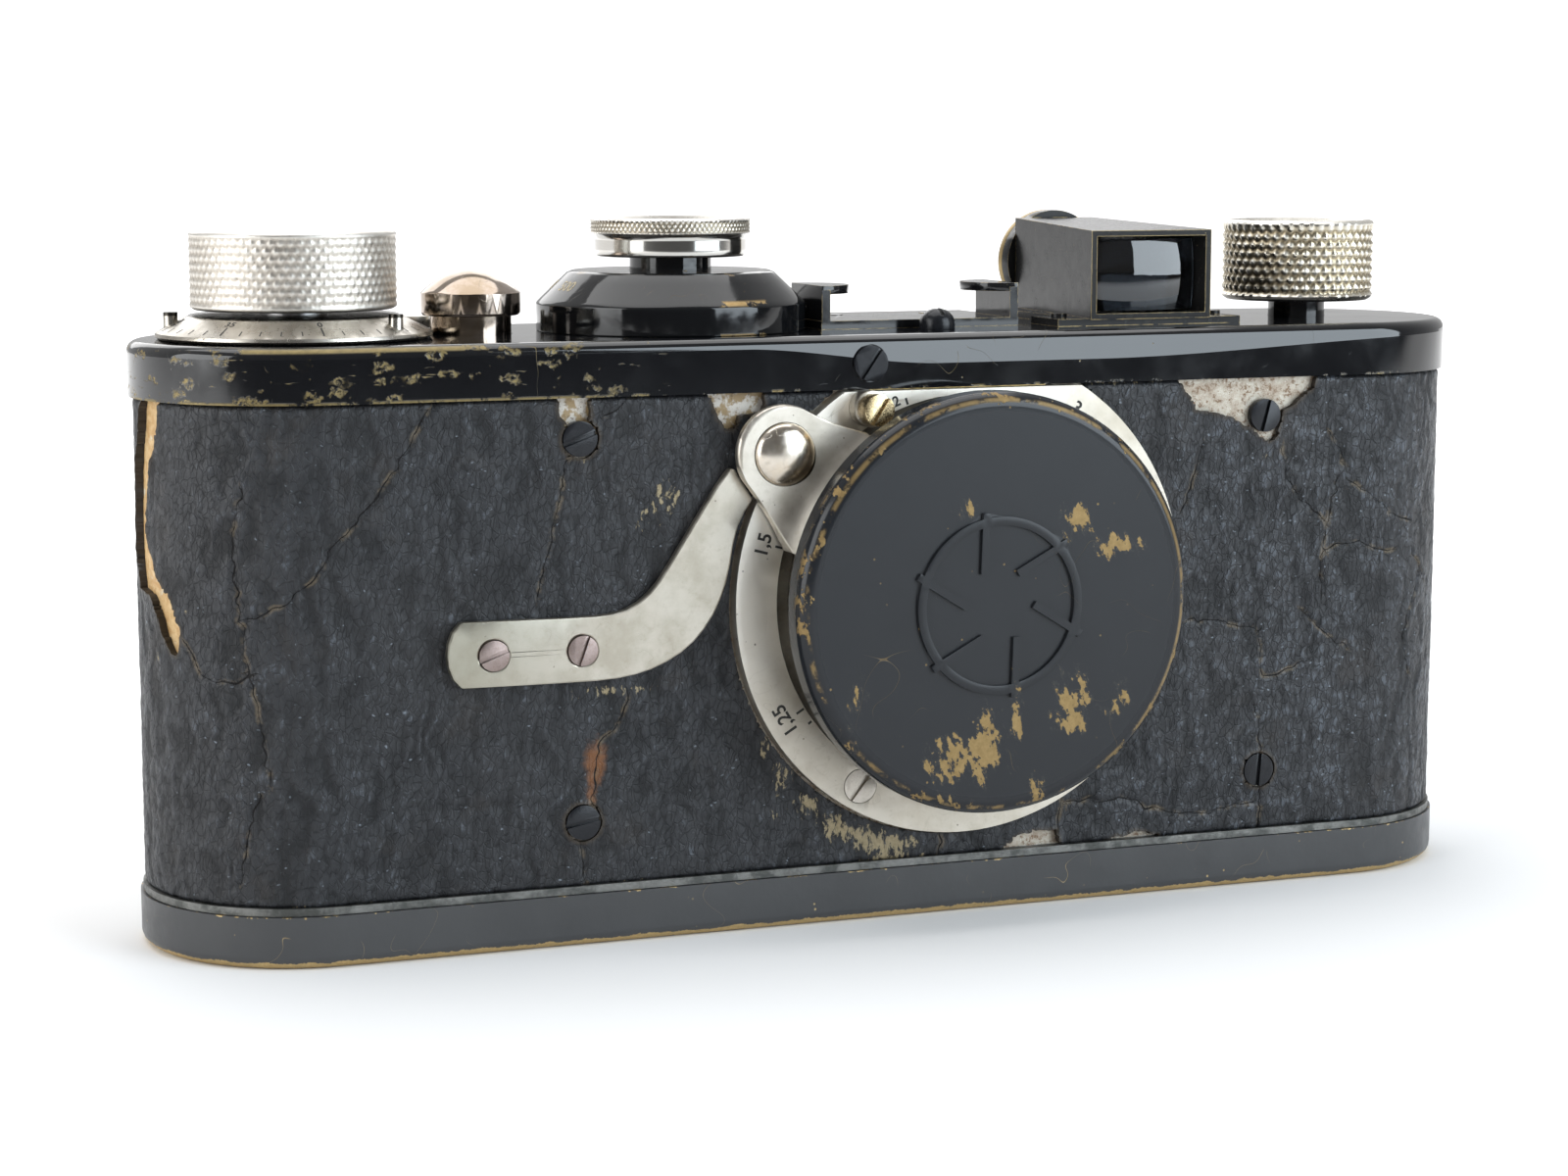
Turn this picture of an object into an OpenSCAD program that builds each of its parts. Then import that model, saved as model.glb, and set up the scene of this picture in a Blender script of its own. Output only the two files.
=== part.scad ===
// Small 35 mm viewfinder camera: stadium body, top plate with knobs,
// focusing mount with a collapsible lens and a push-on cap. Millimetres.
// Origin: centre of the base plate's underside. +Z up, -Y out of the lens,
// +X towards the rewind knob.

/* [Pieces] */

/* [Body] */
// Length of the body over its rounded ends
body_w = 133; // [132.6:0.2:134]
// Height of the body without the knobs
body_h = 55; // [55:0.5:57]
// Thickness of the base plate's floor
base_floor = 1.2; // [1:0.1:1.3]
// Height of the base plate's rim
base_rim = 4.8; // [4.4:0.1:5]
// Height of the top plate's skirt
skirt = 5; // [4.6:0.1:5]
// Radius of the top plate's upper edge
top_edge = 1.0; // [0.6:0.1:1.1]

/* [Top fittings] */
// Radius of the wind knob
wind_r = 9.3; // [8.2:0.1:9.4]
// Radius of the rewind knob
rewind_r = 7.6; // [6.5:0.1:8]
// Outer radius of the frame counter
dial_r = 12.5; // [11.6:0.1:12.7]
// Radius of the speed knob's knurled rim
speed_r = 7.53; // [6.8:0.1:8]
// Outer radius of the speed knob's boss
boss_r = 12.7; // [11.5:0.1:13]
// Radius of the release button's head
release_r = 4.6; // [4:0.1:4.8]
// Clear width between the accessory shoe's rails
shoe_w = 18.6; // [18.2:0.1:18.8]
// Length of the accessory shoe's rails
shoe_len = 8; // [6:0.5:10]

/* [Lens] */
// Radius of the lens flange
flange_r = 22.7; // [22.5:0.05:22.8]
// Radius of the push-on cap
cap_r = 19.5; // [18.8:0.1:19.6]
// Travel that the cap's face stands in front of the body centre
cap_face = 23.6; // [23.5:0.1:24.2]
// Radius of the collapsible tube
tube_r = 15; // [14.6:0.1:15]

/* [Hidden] */
e = 0.01;
T = body_h;
R = 15;
A = body_w/2 - R;
Ro = 13.9;
Ri = 12.6;
LX = 8.0;
LZ = 30.6;
WX = -51.5;
SX = -35.0;
DX = -15.5;
RX = 51.8;
gear_lo = T-4.7;
gear_hi = T-2.5;

// ---- helpers ----
module ring_body(P) {
  translate([A,0,0]) rotate([0,0,-90]) rotate_extrude(angle=180,$fn=96) polygon(P);
  translate([-A,0,0]) rotate([0,0,90]) rotate_extrude(angle=180,$fn=96) polygon(P);
  translate([-A,0,0]) rotate([90,0,90]) linear_extrude(2*A) polygon(P);
  mirror([0,1,0]) translate([-A,0,0]) rotate([90,0,90]) linear_extrude(2*A) polygon(P);
}
// P starts and ends on the centre line
module full_body(P) {
  S = concat(P, [for (i=[len(P)-2:-1:1]) [-P[i][0], P[i][1]]]);
  translate([A,0,0]) rotate([0,0,-90]) rotate_extrude(angle=180,$fn=96) polygon(P);
  translate([-A,0,0]) rotate([0,0,90]) rotate_extrude(angle=180,$fn=96) polygon(P);
  translate([-A,0,0]) rotate([90,0,90]) linear_extrude(2*A) polygon(S);
}
function arc_pts(cx,cz,r,a0,a1,n) = [for (i=[0:n]) let(a=a0+(a1-a0)*i/n) [cx+r*cos(a), cz+r*sin(a)]];
// local +z runs out of the lens, local x and y are world X and Z
module lens_axis() { translate([LX,0,LZ]) rotate([90,0,0]) children(); }
module front_at(x,z) { translate([x,0,z]) rotate([90,0,0]) children(); }
module tube(ro,ri,z0,z1,n=64) { difference() { translate([0,0,z0]) cylinder(r=ro,h=z1-z0,$fn=n); translate([0,0,z0-1]) cylinder(r=ri,h=z1-z0+2,$fn=n); } }
module rod(r,z0,z1,n=48) { translate([0,0,z0]) cylinder(r=r,h=z1-z0,$fn=n); }
// slotted countersunk-look screw with its axis out of the lens side
module slot_screw(r,h0,h1,sr,s0,ang,sw=0.4,sd=0.35) {
  difference() { rod(r,h0,h1,32); translate([0,0,h1]) rotate([0,0,ang]) cube([3*r,sw,2*sd],center=true); }
  rod(sr,s0,h0+e,24);
}
function inv_pt(rb,t,ph) = let(a=t*180/PI) [rb*(cos(a+ph)+t*sin(a+ph)), rb*(sin(a+ph)-t*cos(a+ph))];
function gear_pts(n,m,bl) = let(rp=n*m/2, rb=rp*cos(20), ra=rp+0.92*m, rf=rp-1.2*m,
  invp=tan(20)*180/PI-20, half=90/n-bl/rp*90/PI,
  tmax=sqrt(pow(ra/rb,2)-1), t0 = rf>rb ? sqrt(pow(rf/rb,2)-1) : 0)
  [for (k=[0:n-1]) each let(c=k*360/n) concat(
    [[rf*cos(c-half-invp-0.6), rf*sin(c-half-invp-0.6)]],
    [for (i=[0:3]) let(t=t0+(tmax-t0)*i/3) inv_pt(rb,t,c-half-invp)],
    [for (i=[3:-1:0]) let(t=t0+(tmax-t0)*i/3, p=inv_pt(rb,t,-half-invp)) [p[0]*cos(c)+p[1]*sin(c), p[0]*sin(c)-p[1]*cos(c)]],
    [[rf*cos(c+half+invp+0.6), rf*sin(c+half+invp+0.6)]])];
module gear(n,m,z0,z1,ph=0) { translate([0,0,z0]) rotate([0,0,ph]) linear_extrude(z1-z0) polygon(gear_pts(n,m,0.09)); }

// ---- body ----
module body_shell() color([0.62,0.62,0.62]) difference() {
  union() {
    ring_body([[Ri,base_floor+0.15],[Ro,base_floor+0.15],[Ro,base_rim+0.06],[R-0.25,base_rim+0.06],[R-0.25,base_rim+0.75],[Ro,base_rim+0.75],[Ro,T-1.4],[Ri,T-1.4]]);
  }
  lens_axis() rod(21.5,8,16,96);
  front_at(-1.3,T-2.6) rod(1.0,10,16,24);
  mirror([0,1,0]) front_at(-1.3,T-2.6) rod(1.0,10,16,24);
  for (x=[-29.1,40.3], z=[11.4,46.3]) front_at(x,z) rod(0.9,10,16,24);
  for (x=[-37.6,-29.35]) front_at(x,27.35) rod(0.9,10,16,24);
}
module leather_cover() color([0.09,0.09,0.1]) difference() {
  ring_body([[Ro,base_rim+0.75],[R-0.3,base_rim+0.75],[R-0.3,T-skirt-0.05],[Ro,T-skirt-0.05]]);
  lens_axis() rod(flange_r+0.25,12,16,128);
  for (x=[-29.1,40.3], z=[11.4,46.3]) front_at(x,z) rod(1.8,12,16,32);
  for (x=[-37.6,-29.35]) front_at(x,27.35) rod(0.9,12,16,24);
  // worn-away places: wind end, upper right, below the flange, by the upper left screw, by the flange
  rotate([90,0,90]) translate([0,0,-80]) linear_extrude(20) polygon([[-2.4,52],[-5.84,52],[-5.84,49.5],[-5.29,47.4],[-4.34,44.7],[-3.4,42],[-3.0,39.4],[-3.27,36.8],[-4.5,34.7],[-6.37,32.7],[-7.29,31.2],[-7.69,29.8],[-7.76,28.9],[-7.17,27.6],[-6.56,27.7],[-5.93,28.7],[-5.25,29.9],[-4.83,31.2],[-2.99,32.5],[-0.7,32.9],[0.86,36.3],[0.79,39.8],[-0.51,44.4],[-1.53,47.1]]);
  for (q=[[[31,60],[31,49.9],[31.7,48.7],[32.6,47.2],[35.3,46.4],[37.8,45.7],[39.1,44.9],[40.7,43.7],[41.6,44.15],[42.1,45.8],[42.5,46.7],[43.9,47.8],[45.3,48.7],[46,49.7],[46.1,60]],
          [[12.1,4],[12.3,4.9],[13.35,6.12],[14.9,7.05],[16.7,7.21],[18.3,7.08],[18.77,5.7],[18.6,4]],
          [[-31.1,60],[-31.1,49.7],[-30.9,48.4],[-30.2,47.4],[-28.7,47.6],[-28.1,48.4],[-28.3,60]],
          [[-16.8,60],[-16.8,49.6],[-16.2,48.6],[-15.7,47.5],[-15.1,46.6],[-14.4,46.55],[-13.9,47.9],[-11.8,48.3],[-11.4,60]]])
    front_at(0,0) translate([0,0,12]) linear_extrude(4) polygon(q);
}
module top_plate() color([0.03,0.03,0.035]) difference() {
  full_body(concat([[0,T-1.2],[R-1,T-1.2],[R-1,T-skirt],[R,T-skirt]], arc_pts(R-top_edge,T-top_edge,top_edge,0,90,6), [[0,T]]));
  translate([WX,0,0]) rod(3.02,T-3,T+2,48);
  translate([SX,0,0]) rod(3.83,T-3,T+2,48);
  translate([DX,0,0]) rod(3.95,T-3,T+2,48);
  translate([RX,0,0]) rod(2.92,T-3,T+2,48);
  translate([-38.5,10.5,0]) rod(1.05,T-3,T+2,24);
  translate([8.1,-8.8,0]) rod(0.85,T-3,T+2,24);
  front_at(-1.3,T-2.6) rod(1.0,10,16,24);
  front_at(-1.3,T-2.6) rod(1.75,R-0.35,17,32);
  mirror([0,1,0]) front_at(-1.3,T-2.6) { rod(1.0,10,16,24); rod(1.75,R-0.35,17,32); }
}
module top_plate_screw_front() color([0.06,0.06,0.07]) front_at(-1.3,T-2.6) slot_screw(1.65,R-0.35,R+0.35,0.9,10.2,55);
module top_plate_screw_rear() color([0.06,0.06,0.07]) mirror([0,1,0]) front_at(-1.3,T-2.6) slot_screw(1.65,R-0.35,R+0.35,0.9,10.2,20);
module body_screws() color([0.06,0.06,0.07]) for (q=[[-29.1,46.3,20],[-29.1,11.4,10],[40.3,46.3,75],[40.3,11.4,85]])
  front_at(q[0],q[1]) slot_screw(1.6,Ro,R-0.35,0.8,11.3,q[2]);

module chassis() color([0.5,0.5,0.5]) difference() {
  union() {
    for (z=[[T-6.4,T-5.2],[9.6,11]]) {
      translate([-A,0,z[0]]) rotate([0,0,90]) rotate_extrude(angle=180,$fn=96) square([12.4,z[1]-z[0]]);
      translate([-A,-12.4,z[0]]) cube([A+38.4,24.8,z[1]-z[0]]);
    }
    translate([-31.5,-12.3,9.6]) cube([74,1.2,T-5.2-9.6]);
    translate([-27.6,-11.2,10.5]) cube([1.2,19.3,T-6-10.5]);
    translate([37.2,-11.2,10.5]) cube([1.2,19.3,T-6-10.5]);
    translate([-5.5,-12.4,T-5.3]) cube([6.2,2.7,3.9]);
    translate([-5.5,9.7,T-5.3]) cube([6.2,2.7,3.9]);
  }
  lens_axis() rod(21.6,5.5,16,96);
  translate([WX,0,0]) rod(2.55,0,T,48);
  translate([SX,0,0]) rod(2.66,0,T,48);
  translate([DX,0,0]) rod(2.06,0,T,48);
  translate([31.8,1,0]) rod(0.95,0,T,24);
  translate([33.6,-6.2,0]) rod(0.95,0,T,24);
  front_at(-1.3,T-2.6) rod(0.95,9,13,24);
  mirror([0,1,0]) front_at(-1.3,T-2.6) rod(0.95,9,13,24);
  for (x=[-29.1,40.3], z=[11.4,46.3]) front_at(x,z) rod(0.85,10,13,24);
}
module film_gate() color([0.25,0.25,0.26]) {
  difference() {
    translate([-26.2,8.2,11.05]) cube([63.2,1.2,T-6.45-11.05]);
    translate([LX-18,7,LZ-12]) cube([36,4,24]);
  }
  for (z=[LZ-14.6,LZ+13.2]) translate([-20,9.4-e,z]) cube([50,0.2,1.4]);
}
module pressure_plate() color([0.2,0.2,0.2]) translate([LX-22,9.9,LZ-14]) cube([44,0.9,28]);
module pressure_springs() color([0.7,0.7,0.68]) for (x=[-6,16]) translate([x,0,LZ]) rotate([90,0,90]) linear_extrude(6)
  polygon([[10.82,-6],[10.82,6],[11.0,6],[11.8,9.5],[12.55,11],[12.55,10.8],[11.2,5.8],[11.05,5],[11.05,-5],[11.2,-5.8],[12.55,-10.8],[12.55,-11],[11.8,-9.5],[11.0,-6]]);
module first_curtain() color([0.06,0.06,0.06]) translate([-15.5,5.95,16]) cube([47.3,0.2,29]);
module roller(x,y) color([0.6,0.6,0.6]) translate([x,y,0]) { rod(2.4,12,T-7.4,36); rod(0.9,9.7,12+e,24); rod(0.9,T-7.4-e,T-5.3,24); }
module curtain_rollers_a() roller(31.8,1);
module curtain_rollers_b() roller(33.6,-6.2);

// ---- top fittings ----
module accessory_shoe() color([0.05,0.05,0.055]) {
  xc=7.65; w=shoe_w/2; y0=-6;
  difference() {
    union() {
      translate([xc-w-0.9,y0,T]) cube([shoe_w+1.8,shoe_len+6,0.8]);
      for (s=[-1,1]) {
        translate([xc+s*(w+0.425)-0.425,y0,T+0.4]) cube([0.85,shoe_len,3.3]);
        translate([xc+s*(w+0.85),y0+shoe_len/2,T+3.3]) scale([1,1,1]) intersection() {
          translate([0,0,0]) cylinder(r=shoe_len/2,h=0.8,$fn=48);
          translate([s>0?-20:0,-20,-1]) cube([20,40,3]);
        }
      }
    }
    for (x=[xc-5,xc+5]) translate([x,y0+shoe_len+2,T-1]) cylinder(r=0.9,h=3,$fn=24);
  }
  for (x=[xc-5,xc+5]) translate([x,y0+shoe_len+2,0]) rod(0.9,T+0.02,T+0.85,24);
}
module shoe_screw() color([0.07,0.07,0.08]) translate([8.1,-8.8,0]) difference() {
  union() {
    rotate_extrude($fn=36) polygon(concat([[0,T+0.01],[1.7,T+0.01],[1.7,T+0.5]], [for (i=[1:6]) [1.7*cos(i*15), T+0.5+1.5*sin(i*15)]]));
    rod(0.8,T-2.2,T+0.1,24);
  }
  translate([-0.2,-3,T+1.35]) cube([0.4,6,2]);
}
module finder_wedge(d0,d1,y0,y1,wf,wr,z0,zf,zr) intersection() {
  translate([0,0,z0]) linear_extrude(20) polygon([[30.25-wf,y0],[30.25+wf,y0],[30.25+wr,y1],[30.25-wr,y1]]);
  translate([10,0,0]) rotate([90,0,90]) linear_extrude(40) polygon([[y0,z0],[y1,z0],[y1,zr],[y0,zf]]);
}
module finder_housing() color([0.04,0.04,0.045]) {
  difference() {
    union() {
      finder_wedge(0,0,-9.7,12.2,6.45,4.3,T+0.6,T+9.1,T+9.8);
      translate([30.25,12.0,T+5.35]) rotate([-90,0,0]) cylinder(r=5.2,h=1.5,$fn=64);
    }
    difference() {
      finder_wedge(0,0,-10.7,11.2,5.95,3.8,T+1.15,T+8.5,T+9.2);
    }
    translate([30.25,8,T+5.35]) rotate([-90,0,0]) cylinder(r=3.3,h=8,$fn=48);
  }
  difference() {
    union() {
      translate([23.4,-9.5,T]) cube([13.7,21,0.7]);
      translate([20.4,-9.5,T]) cube([19.7,6,0.7]);
    }
    for (x=[21.9,38.6]) translate([x,-6.5,T-1]) cylinder(r=0.8,h=3,$fn=24);
  }
  for (x=[21.9,38.6]) translate([x,-6.5,0]) rod(0.8,T+0.02,T+1.1,24);
}
module finder_front_lens() color([0.6,0.7,0.75,0.4]) difference() {
  translate([30.25-5.55,-8.9,T+1.3]) cube([11.1,1.6,6.95]);
  translate([30.25,-16.4,T+4.8]) sphere(r=8.3,$fn=48);
}
module finder_eyepiece() color([0.55,0.45,0.22]) translate([30.25,13.55,T+5.35]) rotate([-90,0,0])
  rotate_extrude($fn=64) polygon([[3.4,0],[5.2,0],[5.2,0.85],[4.85,1.25],[3.9,1.25],[3.4,0.7]]);
module finder_eye_lens() color([0.6,0.7,0.75,0.4]) translate([30.25,0,T+5.35]) rotate([-90,0,0]) rotate_extrude($fn=48) polygon([[0,11.4],[1.5,11.5],[2.4,11.75],[3.25,12.1],[3.25,13.4],[0,13.4]]);
module speed_boss() color([0.04,0.04,0.045]) translate([DX,0,0]) rotate_extrude($fn=96)
  polygon([[3.93,T],[boss_r,T],[boss_r,T+2.6],[boss_r-0.4,T+3.0],[9.8,T+5.4],[9.3,T+5.6],[3.93,T+5.6]]);

// ---- lens seat ----
module helicoid_ring() color([0.7,0.66,0.5]) lens_axis() difference() { tube(21.3,18.73,6.5,13.9,96); for (a=[-120.6,-0.6,119.4]) rotate([0,0,a]) translate([20.4,0,0]) rod(0.75,9,15,24); }
module lens_flange() color([0.72,0.7,0.66]) lens_axis() difference() {
  rod(flange_r,13.9,15.6,128);
  rod(18.73,12,17,96);
  translate([-30,T-skirt-0.15-LZ,10]) cube([60,20,10]);
  for (a=[-120.6,-0.6]) rotate([0,0,a]) translate([20.4,0,0]) { rod(0.75,10,17,24); rod(1.65,15.0,17,32); }
  rotate([0,0,119.4]) translate([20.4,0,0]) rod(0.75,10,17,24);
}
module flange_screw(a,t) color([0.72,0.7,0.66]) lens_axis() rotate([0,0,a]) translate([20.4,0,0]) slot_screw(1.6,15.02,15.62,0.7,9.6,t,0.45,0.3);
module flange_screw_lower() flange_screw(-120.6,-188);
module flange_screw_side() flange_screw(-0.6,30);
module stop_collar() color([0.7,0.69,0.66]) lens_axis() rotate([0,0,119.4]) translate([20.4,0,0]) tube(1.7,0.75,15.62,17.3,36);
module stop_screw() color([0.66,0.52,0.26]) lens_axis() rotate([0,0,119.4]) translate([20.4,0,0]) slot_screw(1.45,17.32,19.1,0.7,9.6,-62,0.5,0.5);
catch_pts = [[-40.6,30.45],[-41.35,29.6],[-41.75,28.5],[-41.85,27.5],[-41.75,26.5],[-41.35,25.4],[-40.6,24.55],
 [-36,24.5],[-31,24.48],[-28,24.5],[-26,24.62],[-24.4,24.86],[-22.9,25.25],[-21.4,25.85],[-20,26.62],[-18.8,27.55],[-17.8,28.62],
 [-16.9,29.9],[-16.2,31.3],[-15.65,32.8],[-15.25,34.5],[-14.95,36.3],[-14.5,37.9],[-13.9,39.1],[-13.05,40.35],
 [-14.85,43.2],[-15.3,43.2],[-16.4,41.8],[-17.8,39.75],[-19.6,37.0],[-21.1,34.7],[-22.1,33.25],[-23.0,32.25],[-24,31.45],[-25.2,30.85],[-26.6,30.5],[-28.2,30.38],[-31,30.38],[-36,30.42]];
module catch_strip() color([0.72,0.69,0.62]) difference() {
  front_at(0,0) translate([0,0,R-0.3]) linear_extrude(0.95) polygon(catch_pts);
  for (x=[-37.6,-29.35]) front_at(x,27.35) { rod(0.8,12,17,24); rod(1.42,R+0.35,17,32); }
}
module catch_screws() color([0.48,0.4,0.37]) for (q=[[-37.6,20],[-29.35,70]])
  front_at(q[0],27.35) slot_screw(1.38,R+0.36,R+0.85,0.75,12.7,q[1],0.4,0.3);

// ---- winding train ----
module wind_knob() color([0.75,0.73,0.68]) translate([WX,0,0]) difference() {
  union() {
    rotate_extrude($fn=96) polygon([[0,T+2.65],[wind_r-0.35,T+2.65],[wind_r,T+3.0],[wind_r,T+9.1],[wind_r-0.75,T+9.8],[wind_r-2,T+9.95],[0,T+9.95]]);
  }
  rod(1.55,T+1,T+8,32);
}
module wind_shaft() color([0.6,0.6,0.6]) translate([WX,0,0]) {
  rod(1.5,T+2.4,T+7.8,32);
  difference() { rod(2.95,T-0.9,T+2.62,48); }
  gear(22,0.75,gear_lo,gear_hi);
  rod(2.5,gear_hi-e,T-0.9+e,48);
  rod(2.5,8.6,gear_lo+e,48);
}
module take_up_spool() color([0.12,0.12,0.12]) translate([WX,0,0]) difference() {
  union() { rod(5,13,T-7,48); rod(9.5,12,13,64); rod(9.5,T-7.9,T-7,64); }
  rod(2.5,5,T,48);
  translate([3.6,-3.5,18]) cube([3,0.6,24]);
}
module counter_dial() color([0.72,0.71,0.68]) translate([WX,0,0]) {
  rotate_extrude($fn=96) polygon([[3.03,T+0.05],[dial_r-0.3,T+0.05],[dial_r,T+0.3],[dial_r-0.1,T+0.6],[9.75,T+1.95],[9.4,T+2.15],[3.03,T+2.15]]);
  for (a=[168,-48]) rotate([0,0,a]) translate([11,0,0]) rod(0.65,T+0.9,T+2.4,24);
}
module sprocket_shaft() color([0.62,0.62,0.6]) translate([SX,0,0]) difference() {
  union() {
    gear(22,0.75,gear_lo,gear_hi,180/22);
    rod(2.6,9.7,gear_lo+e,48);
    rod(4.2,13,T-7.2,48);
    for (z=[14.4,LZ+11.8]) rod(5.85,z,z+4.4,64);
    for (z=[LZ-14.1,LZ+14.1], k=[0:7]) rotate([0,0,k*45+22.5]) translate([5.7,-0.5,z-0.8]) cube([0.75,1,1.6]);
  }
  rod(1.25,28,T,32);
}
module release_button() color([0.74,0.7,0.64]) translate([SX,0,0]) rotate_extrude($fn=64)
  polygon(concat([[0,T-14],[1.15,T-14],[1.15,T-0.75],[3.75,T-0.75],[3.75,T+1.75],[release_r-0.2,T+1.75],[release_r,T+2.0],[release_r,T+3.8],[release_r-0.25,T+4.05]],
  [for (i=[1:7]) let(t=i/7) [(release_r-0.25)*(1-t), T+4.05+1.85*(1-(1-t)*(1-t))]]));
module release_spring() color([0.6,0.6,0.6]) translate([SX,0,0]) rotate_extrude($fn=40) polygon([[1.5,T-2.45],[1.75,T-2.45],[3.2,T-0.8],[2.95,T-0.8]]);
module drum_shaft() color([0.6,0.6,0.58]) translate([DX,0,0]) {
  rod(2.0,9.7,gear_lo+e,48);
  rod(5.4,12,T-7,64);
  gear(30,0.75,gear_lo,gear_hi);
  rod(2.0,gear_hi-e,T+6.8,48);
}
module second_curtain() color([0.06,0.06,0.06]) translate([DX,0,0]) tube(5.65,5.42,16,45,64);
module speed_stem() color([0.05,0.05,0.055]) translate([DX,0,0]) difference() {
  union() { rod(3.85,T-0.9,T+6.9,48); rod(2.9,T+6.9-e,T+9.0,48); }
  rod(2.06,T-2,T+7.4,48);
}
module speed_knob() color([0.76,0.75,0.72]) translate([DX,0,0]) difference() {
  rotate_extrude($fn=96) polygon([[0,T+6.93],[6.8,T+6.93],[7.13,T+7.2],[7.13,T+8.9],[speed_r-0.15,T+9.0],[speed_r,T+9.15],[speed_r,T+10.2],[speed_r-0.3,T+10.5],[6.4,T+10.5],[6.1,T+10.2],[0,T+10.2]]);
  rod(2.96,T+6,T+9.06,48);
}
module rewind_knob() color([0.72,0.68,0.58]) translate([RX,0,0]) difference() {
  rotate_extrude($fn=96) polygon([[0,T+1.7],[rewind_r-0.5,T+1.7],[rewind_r,T+2.2],[rewind_r,T+9.2],[rewind_r-0.5,T+9.7],[0,T+9.7]]);
  rod(1.85,T+1,T+8.2,32);
}
module rewind_shaft() color([0.1,0.1,0.1]) translate([RX,0,0]) difference() {
  union() { rod(1.8,T+1.5,T+8,32); rod(2.85,T-4.5,T+1.65,48); rod(4.4,T-2.4,T-1.4,48); rod(2.85,T-8,T-4.5+e,48); }
  translate([-0.7,-4,T-9]) cube([1.4,8,3.2]);
}
module clutch_lever() color([0.74,0.72,0.68]) translate([-38.5,10.5,0]) {
  rod(1.0,T-0.9,T+0.2,24);
  rod(2.3,T+0.08,T+1.2,36);
  translate([0,-1.1,T+0.08]) cube([6.6,2.2,0.8]);
  translate([6.6,0,0]) rod(1.3,T+0.08,T+1.5,32);
}

// ---- lens ----
module helicoid_carrier() color([0.66,0.6,0.4]) lens_axis() tube(18.65,17.25,6.6,15.5,96);
module focus_tube() color([0.7,0.69,0.66]) lens_axis() tube(17.15,tube_r+0.06,6.8,15.6,96);
lobe = [-18.45,13.9];
module focus_lever() color([0.73,0.71,0.67]) lens_axis() difference() {
  union() {
    tube(17.6,tube_r+0.06,15.62,20.3,96);
    difference() {
      union() {
        translate([0,0,16.1]) linear_extrude(0.9) {
          polygon([[-11.0,12.0],[-11.3,16.2],[-16.98,18.15],[-18.45,14.5],[-22.9,13.2],[-22.4,11.75],[-18.6,5.2],[-16,4]]);
          translate(lobe) circle(r=4.5,$fn=64);
        }
        intersection() {
          rotate_extrude($fn=96) polygon([[16,16.1],[21.8,16.95],[20.6,17.15],[19.6,17.5],[18.8,18.1],[18.2,18.9],[17.85,19.7],[17.75,20.25],[16,20.25]]);
          translate([0,0,15]) linear_extrude(8) polygon([[0,0],[-11.15,16.0],[-16,21],[-26,12],[-18.5,5.1]]);
        }
      }
      rod(17.3,15,21,96);
    }
  }
  translate([lobe[0],lobe[1],0]) rod(2.95,15,18,48);
}
module infinity_button() color([0.8,0.79,0.77]) lens_axis() translate([lobe[0],lobe[1],0])
  rotate_extrude($fn=48) polygon([[0,16.35],[2.88,16.35],[2.88,17.15],[2.7,17.45],[2.25,17.77],[1.5,18.05],[0.75,18.2],[0,18.24]]);
module lens_tube() color([0.78,0.76,0.72]) lens_axis() tube(tube_r,13.7,-1.5,20.38,96);
module front_ring() color([0.74,0.73,0.7]) lens_axis() rotate_extrude($fn=96)
  polygon([[13.72,20.4],[18.0,20.4],[18.0,22.6],[17.7,22.9],[14.0,22.9],[14.0,21.3],[13.72,21.3]]);
module aperture_ring() color([0.7,0.69,0.66]) lens_axis() union() {
  rotate_extrude($fn=96) polygon([[8.2,21.5],[13.9,21.5],[13.9,22.2],[8.2,22.4]]);
  translate([0,-12.4,0]) rod(0.8,22.0,22.85,24);
}
module lens_cell() color([0.3,0.3,0.3]) lens_axis() rotate_extrude($fn=96)
  polygon([[6.3,8.2],[7.4,8.2],[7.4,18.0],[13.68,18.0],[13.68,19.4],[8.1,19.4],[8.1,22.2],[7.6,22.6],[6.3,21.9],[6.3,21.6],[6.3,21.3]]);
module front_glass() color([0.6,0.65,0.75,0.4]) lens_axis() rotate_extrude($fn=64)
  polygon([[0,19.6],[3,19.62],[6.28,19.75],[6.28,20.5],[5,21.0],[3.5,21.4],[1.8,21.65],[0,21.75]]);
module iris() color([0.08,0.08,0.08]) lens_axis() tube(6.28,3.2,17.6,17.8,48);
module rear_glass() color([0.6,0.65,0.75,0.4]) lens_axis() rotate_extrude($fn=64)
  polygon([[0,8.6],[1.8,8.7],[3.5,9.0],[5,9.45],[6.28,10.1],[6.28,12.4],[0,12.4]]);
module lens_cap() color([0.08,0.08,0.09]) lens_axis() {
  difference() {
    rotate_extrude($fn=128) polygon(concat([[0,cap_face-0.6],[18.06,cap_face-0.6],[18.06,20.55],[cap_r,20.55]], arc_pts(cap_r-1.3,cap_face-1.3,1.3,0,90,8), [[0,cap_face]]));
  }
  // low relief: a ring of six iris blades
  difference() { translate([0,0,cap_face-0.1]) cylinder(r=8.2,h=0.45,$fn=72); translate([0,0,cap_face-1]) cylinder(r=7.4,h=3,$fn=72); }
  for (k=[0:5]) rotate([0,0,k*60]) translate([3.2,-0.35,cap_face-0.1]) rotate([0,0,-32]) cube([5.6,0.7,0.45]);
}

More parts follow.
